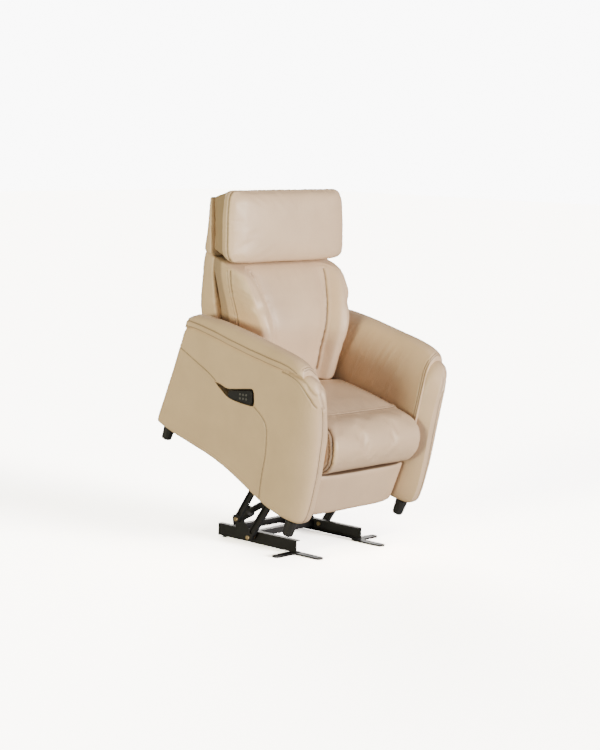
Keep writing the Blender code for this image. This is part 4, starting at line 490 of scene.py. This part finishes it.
# A darker copy of the leather: painted shade for the recessed headrest side strip between pillow and shell.
PAINTED_SHADE_LEATHER = material("painted_shade_leather", (0.30, 0.21, 0.125), 0.5, bump=GRAIN, tint=0.045, vary=0.05)
for leather in (LEATHER, PAINTED_SHADE_LEATHER):
    darker_in_creases(leather, PAINTED_SHADE_COLOUR)
STEEL = material("black_steel", (0.018, 0.018, 0.019), 0.42, 0.3, speckle(240.0, 0.06), 0.25, 0.08)
ZINC = material("zinc_steel", (0.55, 0.55, 0.56), 0.34, 0.95, speckle(300.0, 0.05), 0.12, 0.08)
BRASS = material("yellow_zinc", (0.62, 0.47, 0.25), 0.36, 0.9, speckle(300.0, 0.05), 0.15, 0.08)
PLASTIC = material("black_plastic", (0.014, 0.014, 0.015), 0.45, 0.0, speckle(900.0, 0.05), 0.15, 0.06)
GREY = material("handset_plastic", (0.014, 0.014, 0.015), 0.38, 0.0, speckle(900.0, 0.05), 0.15, 0.06)
KEYS = material("rubber_keys", (0.085, 0.085, 0.09), 0.55, 0.0, speckle(700.0, 0.05), 0.2, 0.06)
LINING = material("pocket_lining", (0.03, 0.021, 0.013), 0.8, 0.0, (("cells", 500.0, 0.2),), 0.15, 0.05)
BOARD = material("birch_board", (0.46, 0.33, 0.20), 0.6, 0.0, speckle(160.0, 0.1), 0.12, 0.08)
THREAD = material("beige_thread", (0.42, 0.28, 0.17), 0.7, 0.0, speckle(900.0, 0.2), 0.1, 0.05)
CHROME = material("bright_rod", (0.62, 0.62, 0.63), 0.2, 1.0, speckle(400.0, 0.03), 0.05, 0.05)


# Arms
def arm_bottom(y):
    t = min(1.0, max(0.0, (y - 0.055) / 0.705))
    return ARM_LOW + 0.026 * (1 - math.cos(2 * math.pi * t)) / 2


def arm_front(z):
    return float(np.interp(z, FRONT_LEVELS, FRONT_STOPS))


def pad_edge(z):
    return float(np.interp(z, EDGE_LEVELS, EDGE_STOPS))


def arm_rear(z):
    return ARM_REAR - 0.055 * (z - ARM_LOW)


def arm_crest(y):
    return float(np.interp(y, CREST_STOPS, CREST_LEVELS))


def pad_seam(y):
    return arm_crest(y) - float(np.interp(y, SEAM_STOPS, SEAM_DROPS))


def pad_lower(y):
    """The pad's outer lower edge, which rises to a point towards the front."""
    return pad_seam(y) + float(np.interp(y, TAPER_STOPS, TAPER_LIFTS))


def arm_outer(z):
    return ARM_OUT + ARM_FLARE * max(0.0, (z - ARM_LOW) / (ARM_TOP - ARM_LOW)) ** 1.5


def arm_inner(z):
    return ARM_IN + 0.9 * max(0.0, z - 0.40) ** 2


def panel_section(y):
    """The arm's outline across it; outer and inner points pair up level with each other."""
    crest = arm_crest(y)
    bare, band = step((0.125 - y) / 0.02), step((0.215 - y) / 0.07)
    seam, top, low = pad_seam(y), crest - PAD_SEAT + 0.022 * bare, arm_bottom(y)
    middle = mix(ARM_IN, ARM_OUT, 0.5)
    levels = (0.16, 0.22, 0.28, 0.34, 0.40, 0.46)
    outer = [(middle + 0.012, low), (arm_outer(low) - 0.022, low), (arm_outer(low) - 0.005, low + 0.005)]
    outer += [(arm_outer(low + 0.03), low + 0.026)] + [(arm_outer(z), z) for z in levels]
    outer += [(arm_outer(seam) + 0.001, seam - 0.035), (arm_outer(seam), seam - 0.010)]
    outer += [(arm_outer(seam) - 0.010 + 0.016 * band, seam + 0.010 + 0.012 * band)]
    outer += [(arm_outer(top) - 0.035 + 0.014 * bare, top)]
    inner = [(middle - 0.012, low), (ARM_IN + 0.022, low), (ARM_IN + 0.005, low + 0.005)]
    inner += [(ARM_IN + 0.001, low + 0.026)] + [(arm_inner(z) + 0.004, z) for z in levels]
    inner += [(arm_inner(z) + 0.005, z) for z in (seam - 0.035, seam - 0.010)]
    inner += [(arm_inner(seam) + 0.014, seam + 0.008), (arm_inner(top) + 0.035, top - 0.004)]
    return outer + inner[::-1]


def front_ring(whole, t):
    """The rounded front of an arm: a big outer corner, a narrow facing panel and a domed top."""
    ring = []
    for x, z in whole:
        low, high = min(arm_inner(z), x), max(arm_outer(z), x)
        start = low + FACING * max(0.0, 1 - t / 0.5) ** 1.15
        stop = high - squeeze(t, CORNER)
        y = mix(arm_front(z), LOBE_BACK, t)
        drop = squeeze(t, 0.020) * step((z - 0.46) / 0.12) - squeeze(t, 0.014) * step((0.13 - z) / 0.06)
        ring.append((start + (x - low) / (high - low) * (stop - start), y, z - drop))
    return ring


def arm_rings():
    whole = panel_section(LOBE_BACK)
    rings = [front_ring(whole, t) for t in (0.0, 0.012, 0.05, 0.12, 0.23, 0.38, 0.55, 0.78, 1.0)]
    for y in np.linspace(LOBE_BACK + 0.022, CAP_START, 24):
        rings.append([(x, y, z) for x, z in panel_section(y)])
    last = panel_section(ARM_REAR)
    middle = mix(ARM_IN, ARM_OUT, 0.5)
    for t, inset in ((0.5, 0.0), (0.85, 0.001), (1.0, 0.006)):
        rings.append([(x - inset if x > middle else x, mix(CAP_START, arm_rear(z), t), z) for x, z in last])
    return rings


def pad_section(y):
    """The pad's outline across the arm: its skin, then its underside point by point."""
    crest = arm_crest(y)
    seam, top = pad_lower(y), crest - PAD_SEAT
    out, inn = arm_outer(pad_seam(y)), arm_inner(top)
    skin = [(out + 0.002, seam - 0.002)]
    for wide, t in ((0.007, 0.16), (0.008, 0.38), (0.007, 0.64)):
        skin.append((out + wide, mix(seam, crest - 0.006, t)))
    skin += [(out + 0.002, crest - 0.012), (out - 0.014, crest - 0.001)]
    skin += [(out - 0.036, crest + 0.001), (out - 0.06, crest - 0.008), (inn + 0.020, crest - 0.026)]
    under = [(out - 0.008, seam + 0.003)]
    under += [(out - 0.012, mix(seam, top, 0.4)), (out - 0.018, mix(seam, top, 0.7))]
    under += [(out - 0.028, top - 0.005), (out - 0.036, top - 0.003), (out - 0.046, top - 0.003)]
    under += [(out - 0.054, top - 0.003), (mix(out, inn, 0.55), top - 0.005), (inn + 0.042, top - 0.010)]
    skin += [(inn + 0.003, top - 0.008)]
    under += [(inn + 0.028, top - 0.030)]
    for t in (0.82, 0.55, 0.25):
        z = mix(PAD_LOW, top, t)
        skin.append((arm_inner(z), z))
        under.append((arm_inner(z) + 0.022, z))
    skin += [(ARM_IN, PAD_LOW + 0.012), (ARM_IN + 0.008, PAD_LOW)]
    under += [(ARM_IN + 0.022, PAD_LOW + 0.014), (ARM_IN + 0.015, PAD_LOW + 0.003)]
    return skin + under[::-1]


def pad_rings():
    rings = []
    for t in (0.0, 0.06, 0.2, 0.5, 1.0):
        y = 0.112 + 0.030 * t
        crest = arm_crest(y)
        ring = []
        for x, z in pad_section(y):
            inward = squeeze(t, 0.018) * step((z - crest + 0.06) / 0.06)
            place = x - inward * step((x - 0.32) / 0.06) + 0.4 * inward * step((0.33 - x) / 0.03)
            ring.append((place, pad_edge(z) + 0.030 * t, z - inward))
        rings.append(ring)
    for y in np.linspace(0.165, CAP_START, 22):
        rings.append([(x, y, z) for x, z in pad_section(y)])
    last = pad_section(ARM_REAR)
    for t, inset in ((0.55, 0.0), (0.9, 0.002), (1.0, 0.010)):
        ring = []
        for x, z in last:
            y = mix(CAP_START, arm_rear(z), t)
            ring.append((x - inset * step((x - 0.32) / 0.06), y, z - inset * step((z - 0.5) / 0.06)))
        rings.append(ring)
    return rings


def pocket_place(u, v):
    c, s = math.cos(POCKET_RISE), math.sin(POCKET_RISE)
    return POCKET_Y + c * u - s * v, POCKET_Z + s * u + c * v


def pocket_mouth():
    """The crescent mouth of the handset's pocket, as points in the arm's side."""
    points = ((0.150, 0.0395), (0.134, 0.0385), (0.116, 0.0345), (0.095, 0.0275), (0.074, 0.0225))
    points += ((0.03, 0.0262), (-0.03, 0.0332), (-0.066, 0.0355), (-0.0758, 0.020), (-0.0765, 0.0))
    points += ((-0.0758, -0.02),)
    points += ((-0.066, -0.0345), (-0.03, -0.0332), (0.0, -0.0305), (0.035, -0.0255), (0.065, -0.0192))
    points += ((0.09, -0.0075), (0.112, 0.0082), (0.135, 0.0255))
    flat = [pocket_place(u, v) for u, v in points]
    return smooth_line([(0, y, z) for y, z in flat], 0.004, closed=True)


def cut_pocket(mesh):
    bm = bmesh.new()
    floor, face = -arm_outer(POCKET_Z) + POCKET_DEPTH, -arm_outer(POCKET_Z) - 0.05
    mouth = pocket_mouth()
    low = [bm.verts.new((floor, p.y, p.z)) for p in mouth]
    high = [bm.verts.new((face, p.y, p.z)) for p in mouth]
    for i in range(len(mouth)):
        j = (i + 1) % len(mouth)
        bm.faces.new((low[i], low[j], high[j], high[i]))
    bm.faces.new(low)
    bm.faces.new(high)
    bmesh.ops.recalc_face_normals(bm, faces=bm.faces)
    cutter = bpy.data.objects.new("cutter", mesh_of(bm))
    bpy.context.scene.collection.objects.link(cutter)
    cut = {"operation": "DIFFERENCE", "object": cutter, "solver": "EXACT"}
    out = with_modifiers(mesh, ("BOOLEAN", cut))
    bpy.data.objects.remove(cutter)
    return out


def paint_pocket_shade(mesh):
    """Paints shade on the inside of the pocket, in the painted shade colour."""
    co = coords(mesh)
    face = np.array([arm_outer(z) for z in co[:, 2]])
    inside = (np.abs(co[:, 1] - 0.415) < 0.13) & (np.abs(co[:, 2] - 0.41) < 0.07)
    inside &= (-co[:, 0] < face - 0.004) & (-co[:, 0] > face - 0.05)
    shadow(mesh, 0.9 * inside)


REAR_SEAM = ((0.79, 0.425), (0.762, 0.423), (0.658, 0.414), (0.579, 0.407), (0.531, 0.397))
FRONT_SEAM = ((0.315, 0.408), (0.269, 0.398), (0.223, 0.375), (0.2, 0.335), (0.178, 0.259), (0.166, 0.176),
              (0.147, 0.085))
FACING_SEAM = ((0.410, 0.215, 0.612), (0.408, 0.170, 0.617), (0.404, 0.125, 0.617),
               (0.390, 0.090, 0.604), (0.365, 0.062, 0.577), (0.343, 0.028, 0.520),
               (0.334, 0.006, 0.465), (0.330, -0.024, 0.385), (0.328, -0.048, 0.280),
               (0.328, -0.064, 0.145), (0.330, -0.062, 0.086))
FACING_FOLD = ((0.412, 0.180, 0.630), (0.408, 0.125, 0.634), (0.390, 0.084, 0.624), (0.362, 0.056, 0.592),
               (0.340, 0.030, 0.548))


def build_arm(word, side):
    mesh = cage([[(side * x, y, z) for x, y, z in ring] for ring in arm_rings()], 2)
    tree = tree_of(mesh)
    inward = (-side, 0, 0)
    joined = side > 0
    middle = ((0.42, 0.394),) if joined else ()
    lines = [REAR_SEAM + middle + FRONT_SEAM] if joined else [REAR_SEAM, FRONT_SEAM]
    seams = [laid(smooth_line([(side * 0.4, y, z) for y, z in line]), tree, inward) for line in lines]
    facing = laid(smooth_line([(side * x, y, z) for x, y, z in FACING_SEAM]), tree)
    fold = laid(smooth_line([(side * x, y, z) for x, y, z in FACING_FOLD]), tree)
    second = [beside(line, tree, -side * STITCH_ASIDE) for line in (seams[-1], facing)]
    refine(mesh, seams + [facing, fold] + second)
    if not joined:
        mesh = cut_pocket(mesh)
        paint_pocket_shade(mesh)
    for line in seams + [facing]:
        groove(mesh, line, 0.0022, 0.0028, 0.0011)
        pucker(mesh, line, 0.016, 0.0009, 0.012, 3.0)
    groove(mesh, fold, 0.0020, 0.0050, 0.0014, 0.3)
    for line in second:
        groove(mesh, line, 0.0007, 0.0016, 0.0002, 0.45)
    ripple(mesh, 0.0012, 9.0, 1.0 + side)
    mesh.set_sharp_from_angle(angle=math.radians(55))
    tree = tree_of(mesh)
    sewn = bmesh.new()
    for line in second:
        stitches(sewn, line, tree)
    add_piece(f"arm_stitching_{word}", mesh_of(sewn), THREAD, "chair")
    if not joined:
        mouth = [Vector((-arm_outer(p.z) - 0.0002, p.y, p.z)) for p in pocket_mouth()]
        add_piece("pocket_piping", mesh_of(piping(mouth, 0.0019)), LEATHER, "chair")
    panel = add_piece(f"arm_panel_{word}", mesh, LEATHER, "chair")
    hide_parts(f"arm_{word}")


def build_pad(word, side):
    mesh = cage([[(side * x, y, z) for x, y, z in ring] for ring in pad_rings()], 2)
    tree = tree_of(mesh)
    high = [(side * 0.45, y, pad_seam(y) + 0.027) for y in np.linspace(0.135, 0.775, 16)]
    upper = laid(smooth_line(high), tree, (-side, 0, 0))
    edge = [(side * (arm_inner(z) + 0.001), pad_edge(z) + 0.009, z) for z in np.linspace(0.34, 0.62, 9)]
    edge += [(side * 0.345, 0.112, 0.655), (side * 0.372, 0.122, 0.664), (side * 0.396, 0.126, 0.650)]
    front = laid(smooth_line(edge), tree)
    twin = beside(front, tree, side * 0.009)
    low = [(side * 0.45, y, pad_seam(y) + 0.003) for y in np.linspace(0.20, 0.775, 14)]
    lower = laid(smooth_line(low), tree, (-side, 0, 0))
    refine(mesh, [upper, lower, front, twin])
    groove(mesh, upper, 0.0020, 0.0028, 0.0012)
    groove(mesh, lower, 0.0010, 0.0026, 0.0)
    pucker(mesh, upper, 0.014, 0.0010, 0.014, 5.0)
    for line in (front, twin):
        groove(mesh, line, 0.0020, 0.0026, 0.0010)
    ripple(mesh, 0.0014, 11.0, 4.0 + side)
    hang(mesh, 0.0016, 4.0 + side)
    tree = tree_of(mesh)
    sewn = bmesh.new()
    stitches(sewn, beside(upper, tree, side * 0.006), tree)
    add_piece(f"arm_rest_stitching_{word}", mesh_of(sewn), THREAD, "chair")
    pad = add_piece(f"arm_rest_{word}", mesh, LEATHER, "chair")
    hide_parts(f"arm_pad_{word}")


# Seat
def build_seat():
    mesh = soft_copy("seat_cushion", 0.007, 12)
    tree = tree_of(mesh)
    bow = [(x, 0.108 + 0.02 * (x / 0.25) ** 2, 0.45) for x in np.linspace(-0.252, 0.252, 9)]
    across = laid(smooth_line(bow), tree, (0, 0, -1))
    crescent = ((0.13, 0.452), (0.06, 0.449), (0.03, 0.443), (0.004, 0.420), (-0.018, 0.386))
    crescent += ((-0.030, 0.345), (-0.028, 0.302), (-0.008, 0.272), (0.03, 0.262))
    ends = [laid(smooth_line([(side * 0.2475, y, z) for y, z in crescent]), tree) for _, side in SIDES]
    co, d = coords(mesh), distances(mesh, [p for line in [across] + ends for p in line])
    hold = np.maximum(soft_step((0.33 - co[:, 2]) / 0.05), soft_step((co[:, 1] - 0.40) / 0.05))
    hold = np.maximum(hold, soft_step((np.abs(co[:, 0]) - 0.243) / 0.006))
    hold = np.maximum(hold, np.exp(-(d / 0.008) ** 2))
    mesh = finer(inflated(mesh, hold))
    tree = tree_of(mesh)
    across = laid(across, tree)
    ends = [laid(line, tree) for line in ends]
    refine(mesh, [across] + ends, size=0.003)
    groove(mesh, across, 0.0018, 0.0028, 0.0006, 0.55)
    pucker(mesh, across, 0.020, 0.0014, 0.016, 7.0)
    for line, way in zip(ends, (1, -1)):
        groove(mesh, line, 0.0070, 0.0072, 0.0020, 1.0)
        groove(mesh, laid(beside(line, tree, way * 0.016), tree), 0.0035, 0.0046, 0.0012, 0.9)
        pucker(mesh, line, 0.016, 0.0010, 0.012, 8.0)
    ripple(mesh, 0.0016, 8.0, 2.0)
    # Painted shade on the faces that look down.
    shadow(mesh, soft_step((-normals(mesh)[:, 2] - 0.55) / 0.3))
    tree = tree_of(mesh)
    sewn = bmesh.new()
    stitches(sewn, beside(across, tree, 0.006), tree, width=0.0007)
    add_piece("seat_stitching", mesh_of(sewn), THREAD, "chair")
    seat = add_piece("seat_upholstery", mesh, LEATHER, "chair")
    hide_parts("seat_cushion")


# Back
BACK_LEVELS = (0.38, 0.45, 0.50, 0.55, 0.60, 0.65, 0.70, 0.74, 0.80)
BACK_HALVES = (0.244, 0.248, 0.253, 0.258, 0.266, 0.278, 0.291, 0.297, 0.297)
BACK_SEAM_LEVELS = (0.43, 0.50, 0.62, 0.75, 0.79)
BACK_SEAM_HALVES = (0.135, 0.142, 0.160, 0.198, 0.212)
SINK_LEVELS = (0.40, 0.43, 0.50, 0.62, 0.66, 0.70, 0.78)
SINK_DEPTHS = (0.0, 0.024, 0.033, 0.033, 0.037, 0.043, 0.047)
RIM_LEVELS = (0.50, 0.60, 0.70, 0.78)
RIM_DEPTHS = (0.040, 0.048, 0.058, 0.080)
BACK_SLICE, BACK_TOP = 0.005, 0.80


def back_face(z):
    return mix(0.446, 0.640, (z - 0.405) / 0.392)


def back_seam_x(z):
    return float(np.interp(z, BACK_SEAM_LEVELS, BACK_SEAM_HALVES))


def widest_at(x, z, slices, least):
    """The half width of the back in each of these level slices."""
    return np.array([np.max(x[np.abs(z - v) < 0.006], initial=least) for v in slices])


def square_top(mesh):
    """Widens the upper end of the back to a square corner."""
    co = coords(mesh)
    x, z = np.abs(co[:, 0]), co[:, 2]
    slices = np.arange(0.66, BACK_TOP, BACK_SLICE)
    wanted = np.interp(slices, BACK_LEVELS, BACK_HALVES)
    grow = np.clip(np.interp(z, slices, wanted / widest_at(x, z, slices, 0.20)), 1.0, 1.45)
    co[:, 0] *= 1 + (grow - 1) * soft_step((x - 0.10) / 0.12) * soft_step((BACK_TOP - z) / 0.007)
    set_coords(mesh, co)


def shaped_back(mesh):
    """Sinks the centre panel between the bolsters, brings the bolsters forward, deepens the sides
    and squares the upper corners."""
    co = coords(mesh)
    x, z = np.abs(co[:, 0]), co[:, 2]
    face = np.array([back_face(v) for v in z])
    seam = np.array([back_seam_x(v) for v in z])
    depth = np.interp(z, SINK_LEVELS, SINK_DEPTHS)
    sink = depth * soft_step((seam + 0.040 - x) / 0.05) + 0.004 * np.exp(-((x - seam) / 0.02) ** 2)
    front = soft_step((face + 0.10 - co[:, 1]) / 0.08)
    behind = soft_step((co[:, 1] - face - 0.085) / 0.03) * soft_step((z - 0.50) / 0.05)
    corner = soft_step((x - 0.245) / 0.03) * soft_step((z - 0.69) / 0.05) * front
    rim = np.interp(z, RIM_LEVELS, RIM_DEPTHS)
    bolster = np.exp(-(((z - 0.63) / 0.10) ** 2)) * soft_step((x - seam - 0.03) / 0.05) * front
    co[:, 1] += sink * front + rim * behind - 0.016 * corner - 0.016 * bolster
    set_coords(mesh, co)
    square_top(mesh)
    co = coords(mesh)
    z = co[:, 2]
    co[:, 2] += 0.002 * soft_step((z - 0.74) / 0.05) - 0.022 * soft_step((0.48 - z) / 0.07)
    set_coords(mesh, co)


def between_arms(mesh):
    """Keeps the back as narrow as it has to be to lean back between the arms."""
    co = coords(mesh)
    x, z = np.abs(co[:, 0]), co[:, 2]
    slices = np.arange(0.375, BACK_TOP, BACK_SLICE)
    allowed = np.interp(slices, BACK_LEVELS, BACK_HALVES)
    fit = np.minimum(1.0, np.interp(z, slices, allowed / widest_at(x, z, slices, 0.15)))
    co[:, 0] *= 1 + (fit - 1) * soft_step((x - 0.12) / 0.10)
    set_coords(mesh, co)


def build_back():
    mesh = soft_copy("back_cushion", 0.007, 6)
    shaped_back(mesh)
    tree = tree_of(mesh)
    heights = np.linspace(0.425, 0.785, 8)
    seams, edges = [], []
    for _, side in SIDES:
        line = [(side * back_seam_x(z), back_face(z), z) for z in heights]
        seams.append(laid(smooth_line(line), tree, (0, 1, 0)))
        edge = [(side * 0.5, back_face(z) + 0.100, z) for z in np.linspace(0.47, 0.775, 8)]
        edges.append(laid(smooth_line(edge), tree, (-side, 0, 0)))
    d = distances(mesh, seams[0] + seams[1])
    hold = np.maximum(held_at(d, 0.009), soft_step((normals(mesh)[:, 1] + 0.1) / 0.3))
    mesh = finer(inflated(mesh, hold, share=0.4))
    square_top(mesh)
    between_arms(mesh)
    tree = tree_of(mesh)
    seams = [laid(line, tree) for line in seams]
    edges = [laid(line, tree) for line in edges]
    edges += [beside(line, tree, way * 0.016) for line, way in zip(edges, (1, -1))]
    refine(mesh, seams + edges, size=0.003)
    for k, line in enumerate(seams + edges):
        groove(mesh, line, 0.0040, 0.0034, 0.0016, 0.75)
        pucker(mesh, line, 0.024, 0.0016, 0.018, 11.0 + k)
    ripple(mesh, 0.0018, 9.0, 3.0)
    # Painted shade on faces that look down and, at half strength, on the deepened rim at the back's sides.
    co = coords(mesh)
    rear = co[:, 1] - np.array([back_face(z) for z in co[:, 2]])
    below = soft_step((-normals(mesh)[:, 2] - 0.6) / 0.3)
    shadow(mesh, np.maximum(below, 0.5 * soft_step((rear - 0.135) / 0.012)))
    tree = tree_of(mesh)
    sewn = bmesh.new()
    for line, way in zip(seams, (1, -1)):
        stitches(sewn, beside(line, tree, way * STITCH_ASIDE), tree)
    add_piece("back_stitching", mesh_of(sewn), THREAD, "back")
    back = add_piece("back_upholstery", mesh, LEATHER, "back")
    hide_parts("back_cushion")


# Headrest pillow: its lean, how far it is lifted, and half of its boxing seam
PILLOW_LEAN, PILLOW_LIFT = 0.418, 0.006
PILLOW_SEAM = ((0.25, 0.806), (0.30, 0.826), (0.318, 0.87), (0.318, 0.95), (0.318, 1.04), (0.30, 1.08),
               (0.25, 1.096))


def build_pillow():
    mesh = soft_copy("headrest_cushion", 0.006, 24)
    co = coords(mesh)
    plane = 0.782 + PILLOW_LEAN * (co[:, 2] - 0.945)
    co[:, 1] -= 0.018 * soft_step((plane - co[:, 1] + 0.04) / 0.06)
    set_coords(mesh, co * np.array((1.05, 1.0, 1.0)) + np.array((0.0, 0.0, PILLOW_LIFT)))
    tree = tree_of(mesh)
    mirrored = [(-x, z) for x, z in PILLOW_SEAM[::-1]]
    loop = []
    for x, z in [mirrored[-1], (0, 0.806), *PILLOW_SEAM, (0, 1.096), *mirrored[:-1]]:
        loop.append((1.02 * x, 0.716 + PILLOW_LEAN * (z - 0.812), z + PILLOW_LIFT))
    boxing = laid(smooth_line(loop, closed=True), tree)
    d = distances(mesh, boxing)
    hold = np.maximum(held_at(d, 0.008), soft_step((normals(mesh)[:, 1] - 0.2) / 0.3))
    mesh = finer(inflated(mesh, hold, share=0.35))
    tree = tree_of(mesh)
    boxing = laid(boxing, tree)
    refine(mesh, [boxing], size=0.003)
    groove(mesh, boxing, 0.0036, 0.0034, 0.0014, 0.75)
    pucker(mesh, boxing, 0.030, 0.0022, 0.016, 15.0)
    ripple(mesh, 0.0020, 8.0, 5.0)
    pillow = add_piece("headrest_pillow", mesh, LEATHER, "headrest")
    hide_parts("headrest_cushion")


# Footrest pad and the covers behind, which have two upright seams each
COVER_SEAM_X, COVER_SEAM_START = 0.192, 1.1
COVER_SEAM_LEVELS = {
    "back_shell": np.linspace(0.27, 0.76, 12),
    "headrest_shell": np.linspace(0.80, 0.975, 7),
}


def build_covers():
    for node, name, body, fill, rounds in (
        ("footrest_pad", "footrest_upholstery", "footrest_panel", 0.8, 10),
        ("headrest_core", "headrest_side_strip", "headrest", 0.9, 10),
        ("headrest_shell", "headrest_cover", "headrest", 0.9, 6),
        ("back_shell", "back_cover", "back", 0.9, 5),
    ):
        mesh = soft_copy(node, 0.006, rounds)
        co = coords(mesh)
        x, z, top = np.abs(co[:, 0]), co[:, 2], co[:, 2].max()
        if node == "back_shell":
            share = (z - 0.22) / 0.563
            now = 0.255 + 0.031 * soft_step((share - 0.66) / 0.22)
            clear = np.array([arm_inner(v) for v in z]) - 0.010
            wide = np.maximum(now, np.minimum(clear, 0.278 + 0.008 * soft_step((z - 0.55) / 0.2)))
            co[:, 0] *= 1 + (wide / now - 1) * soft_step((x - 0.1) / 0.1)
            co[:, 2] += 0.005 * soft_step((z - 0.74) / 0.04)
            set_coords(mesh, co)
        elif node == "headrest_core":
            co[:, 2] -= 0.026 * soft_step((0.87 - z) / 0.03)
            set_coords(mesh, co * np.array((0.955, 1.0, 1.0)))
        if node in COVER_SEAM_LEVELS:
            tree = tree_of(mesh)
            lines = []
            for _, side in SIDES:
                line = [(side * COVER_SEAM_X, COVER_SEAM_START, v) for v in COVER_SEAM_LEVELS[node]]
                lines.append(laid(smooth_line(line), tree, (0, -1, 0)))
            refine(mesh, lines)
            for line in lines:
                groove(mesh, line, 0.0024, 0.0030, 0.0012)
                pucker(mesh, line, 0.016, 0.0010, 0.014, 21.0)
        ripple(mesh, 0.0012, 9.0, 6.0)
        if node == "footrest_pad":
            # Painted shade along the pad's top edge, where it meets the gap under the seat.
            shadow(mesh, soft_step((coords(mesh)[:, 2] - top + 0.009) / 0.005))
        # The headrest side strip takes the darker leather copy, which paints shade on it.
        piece = add_piece(name, mesh, PAINTED_SHADE_LEATHER if node == "headrest_core" else LEATHER, body)
        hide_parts(node)


def dress_metal():
    kinds = (
        (("base_", "rear_lift", "front_lift", "lift_side", "lift_cross", "footrest_drive"), STEEL),
        (("footrest_link", "footrest_bracket", "back_frame", "back_torque", "headrest_hinge"), STEEL),
        (("seat_frame",), STEEL),
        (("rear_pivot", "front_pivot"), BRASS),
        (("seat_springs",), ZINC),
        (("lift_actuator_rod", "recline_actuator_rod", "footrest_actuator_rod"), CHROME),
        (("lift_actuator_housing", "recline_actuator_housing", "footrest_actuator_housing"), PLASTIC),
        (("foot_", "control_box"), PLASTIC),
        (("handset_shell",), GREY),
        (("handset_button",), KEYS),
        (("handset_pocket",), LINING),
        (("footrest_board",), BOARD),
    )
    for name, node in NODES.items():
        for starts, mat in kinds:
            if name.startswith(starts):
                node.data.materials.clear()
                node.data.materials.append(mat)


# Room and camera
FLOOR_SEEN, FLOOR_LIGHT, SKY_SEEN, SKY_LIGHT = 16.0, 0.55, 9.5, 0.15
SUNS = (
    ("key", (0.20, -1.0, 0.06), 30, 8.2, (1.0, 0.94, 0.90)),
    ("side", (-1.0, -0.12, 0.05), 20, 4.6, (1.0, 0.945, 0.64)),
    ("rear", (0.6, 1.0, 0.22), 40, 1.8, (1.0, 0.96, 0.90)),
)
CAMERA_PLACE = (-5.4952, -5.1238 + SHIFT, 1.6918)
CAMERA_TURN = (46.0, 7.536, 1.187)
CAMERA_SENSOR, CAMERA_LENS = 36.0, 91.44


def bright_to_camera(tree, seen, lit):
    """A value that is one thing where the camera looks at it and another where it lights the chair."""
    path = tree.nodes.new("ShaderNodeLightPath")
    blend = tree.nodes.new("ShaderNodeMapRange")
    tree.links.new(path.outputs["Is Camera Ray"], blend.inputs["Value"])
    blend.inputs["To Min"].default_value = lit
    blend.inputs["To Max"].default_value = seen
    return blend.outputs["Result"]


def build_room():
    bm = bmesh.new()
    bmesh.ops.create_grid(bm, x_segments=4, y_segments=4, size=30)
    mesh = mesh_of(bm)
    floor = bpy.data.objects.new("floor", mesh)
    bpy.context.scene.collection.objects.link(floor)
    pale = bpy.data.materials.new("pale_floor")
    pale.use_nodes = True
    tree = pale.node_tree
    tree.nodes.clear()
    diffuse = tree.nodes.new("ShaderNodeBsdfDiffuse")
    out = tree.nodes.new("ShaderNodeOutputMaterial")
    tree.links.new(bright_to_camera(tree, FLOOR_SEEN, FLOOR_LIGHT), diffuse.inputs["Color"])
    tree.links.new(diffuse.outputs["BSDF"], out.inputs["Surface"])
    mesh.materials.append(pale)
    world = bpy.data.worlds.new("studio")
    bpy.context.scene.world = world
    world.use_nodes = True
    sky = world.node_tree.nodes["Background"]
    sky.inputs["Color"].default_value = (1, 1, 1, 1)
    brightness = bright_to_camera(world.node_tree, SKY_SEEN, SKY_LIGHT)
    world.node_tree.links.new(brightness, sky.inputs["Strength"])
    for name, place, wide, power, colour in SUNS:
        light = bpy.data.lights.new(name, "SUN")
        light.energy = power
        light.angle = math.radians(wide)
        light.color = colour
        lamp = bpy.data.objects.new(name, light)
        bpy.context.scene.collection.objects.link(lamp)
        lamp.rotation_euler = (-Vector(place)).to_track_quat("-Z", "Y").to_euler()


def build_camera():
    yaw, pitch, roll = (math.radians(a) for a in CAMERA_TURN)
    look = Vector((math.sin(yaw) * math.cos(pitch), math.cos(yaw) * math.cos(pitch), -math.sin(pitch)))
    level = Vector((math.cos(yaw), -math.sin(yaw), 0))
    up = level.cross(look)
    right = level * math.cos(roll) + up * math.sin(roll)
    up = up * math.cos(roll) - level * math.sin(roll)
    turn = Matrix((right, up, -look)).transposed().to_4x4()
    lens = bpy.data.cameras.new("camera")
    lens.sensor_width = CAMERA_SENSOR
    lens.lens = CAMERA_LENS
    camera = bpy.data.objects.new("camera", lens)
    bpy.context.scene.collection.objects.link(camera)
    camera.matrix_world = Matrix.Translation(CAMERA_PLACE) @ turn
    bpy.context.scene.camera = camera


build_camera()
build_room()
dress_metal()
for arm_word, arm_side in SIDES:
    build_arm(arm_word, arm_side)
    build_pad(arm_word, arm_side)
build_seat()
build_back()
build_pillow()
build_covers()
bpy.context.view_layer.update()
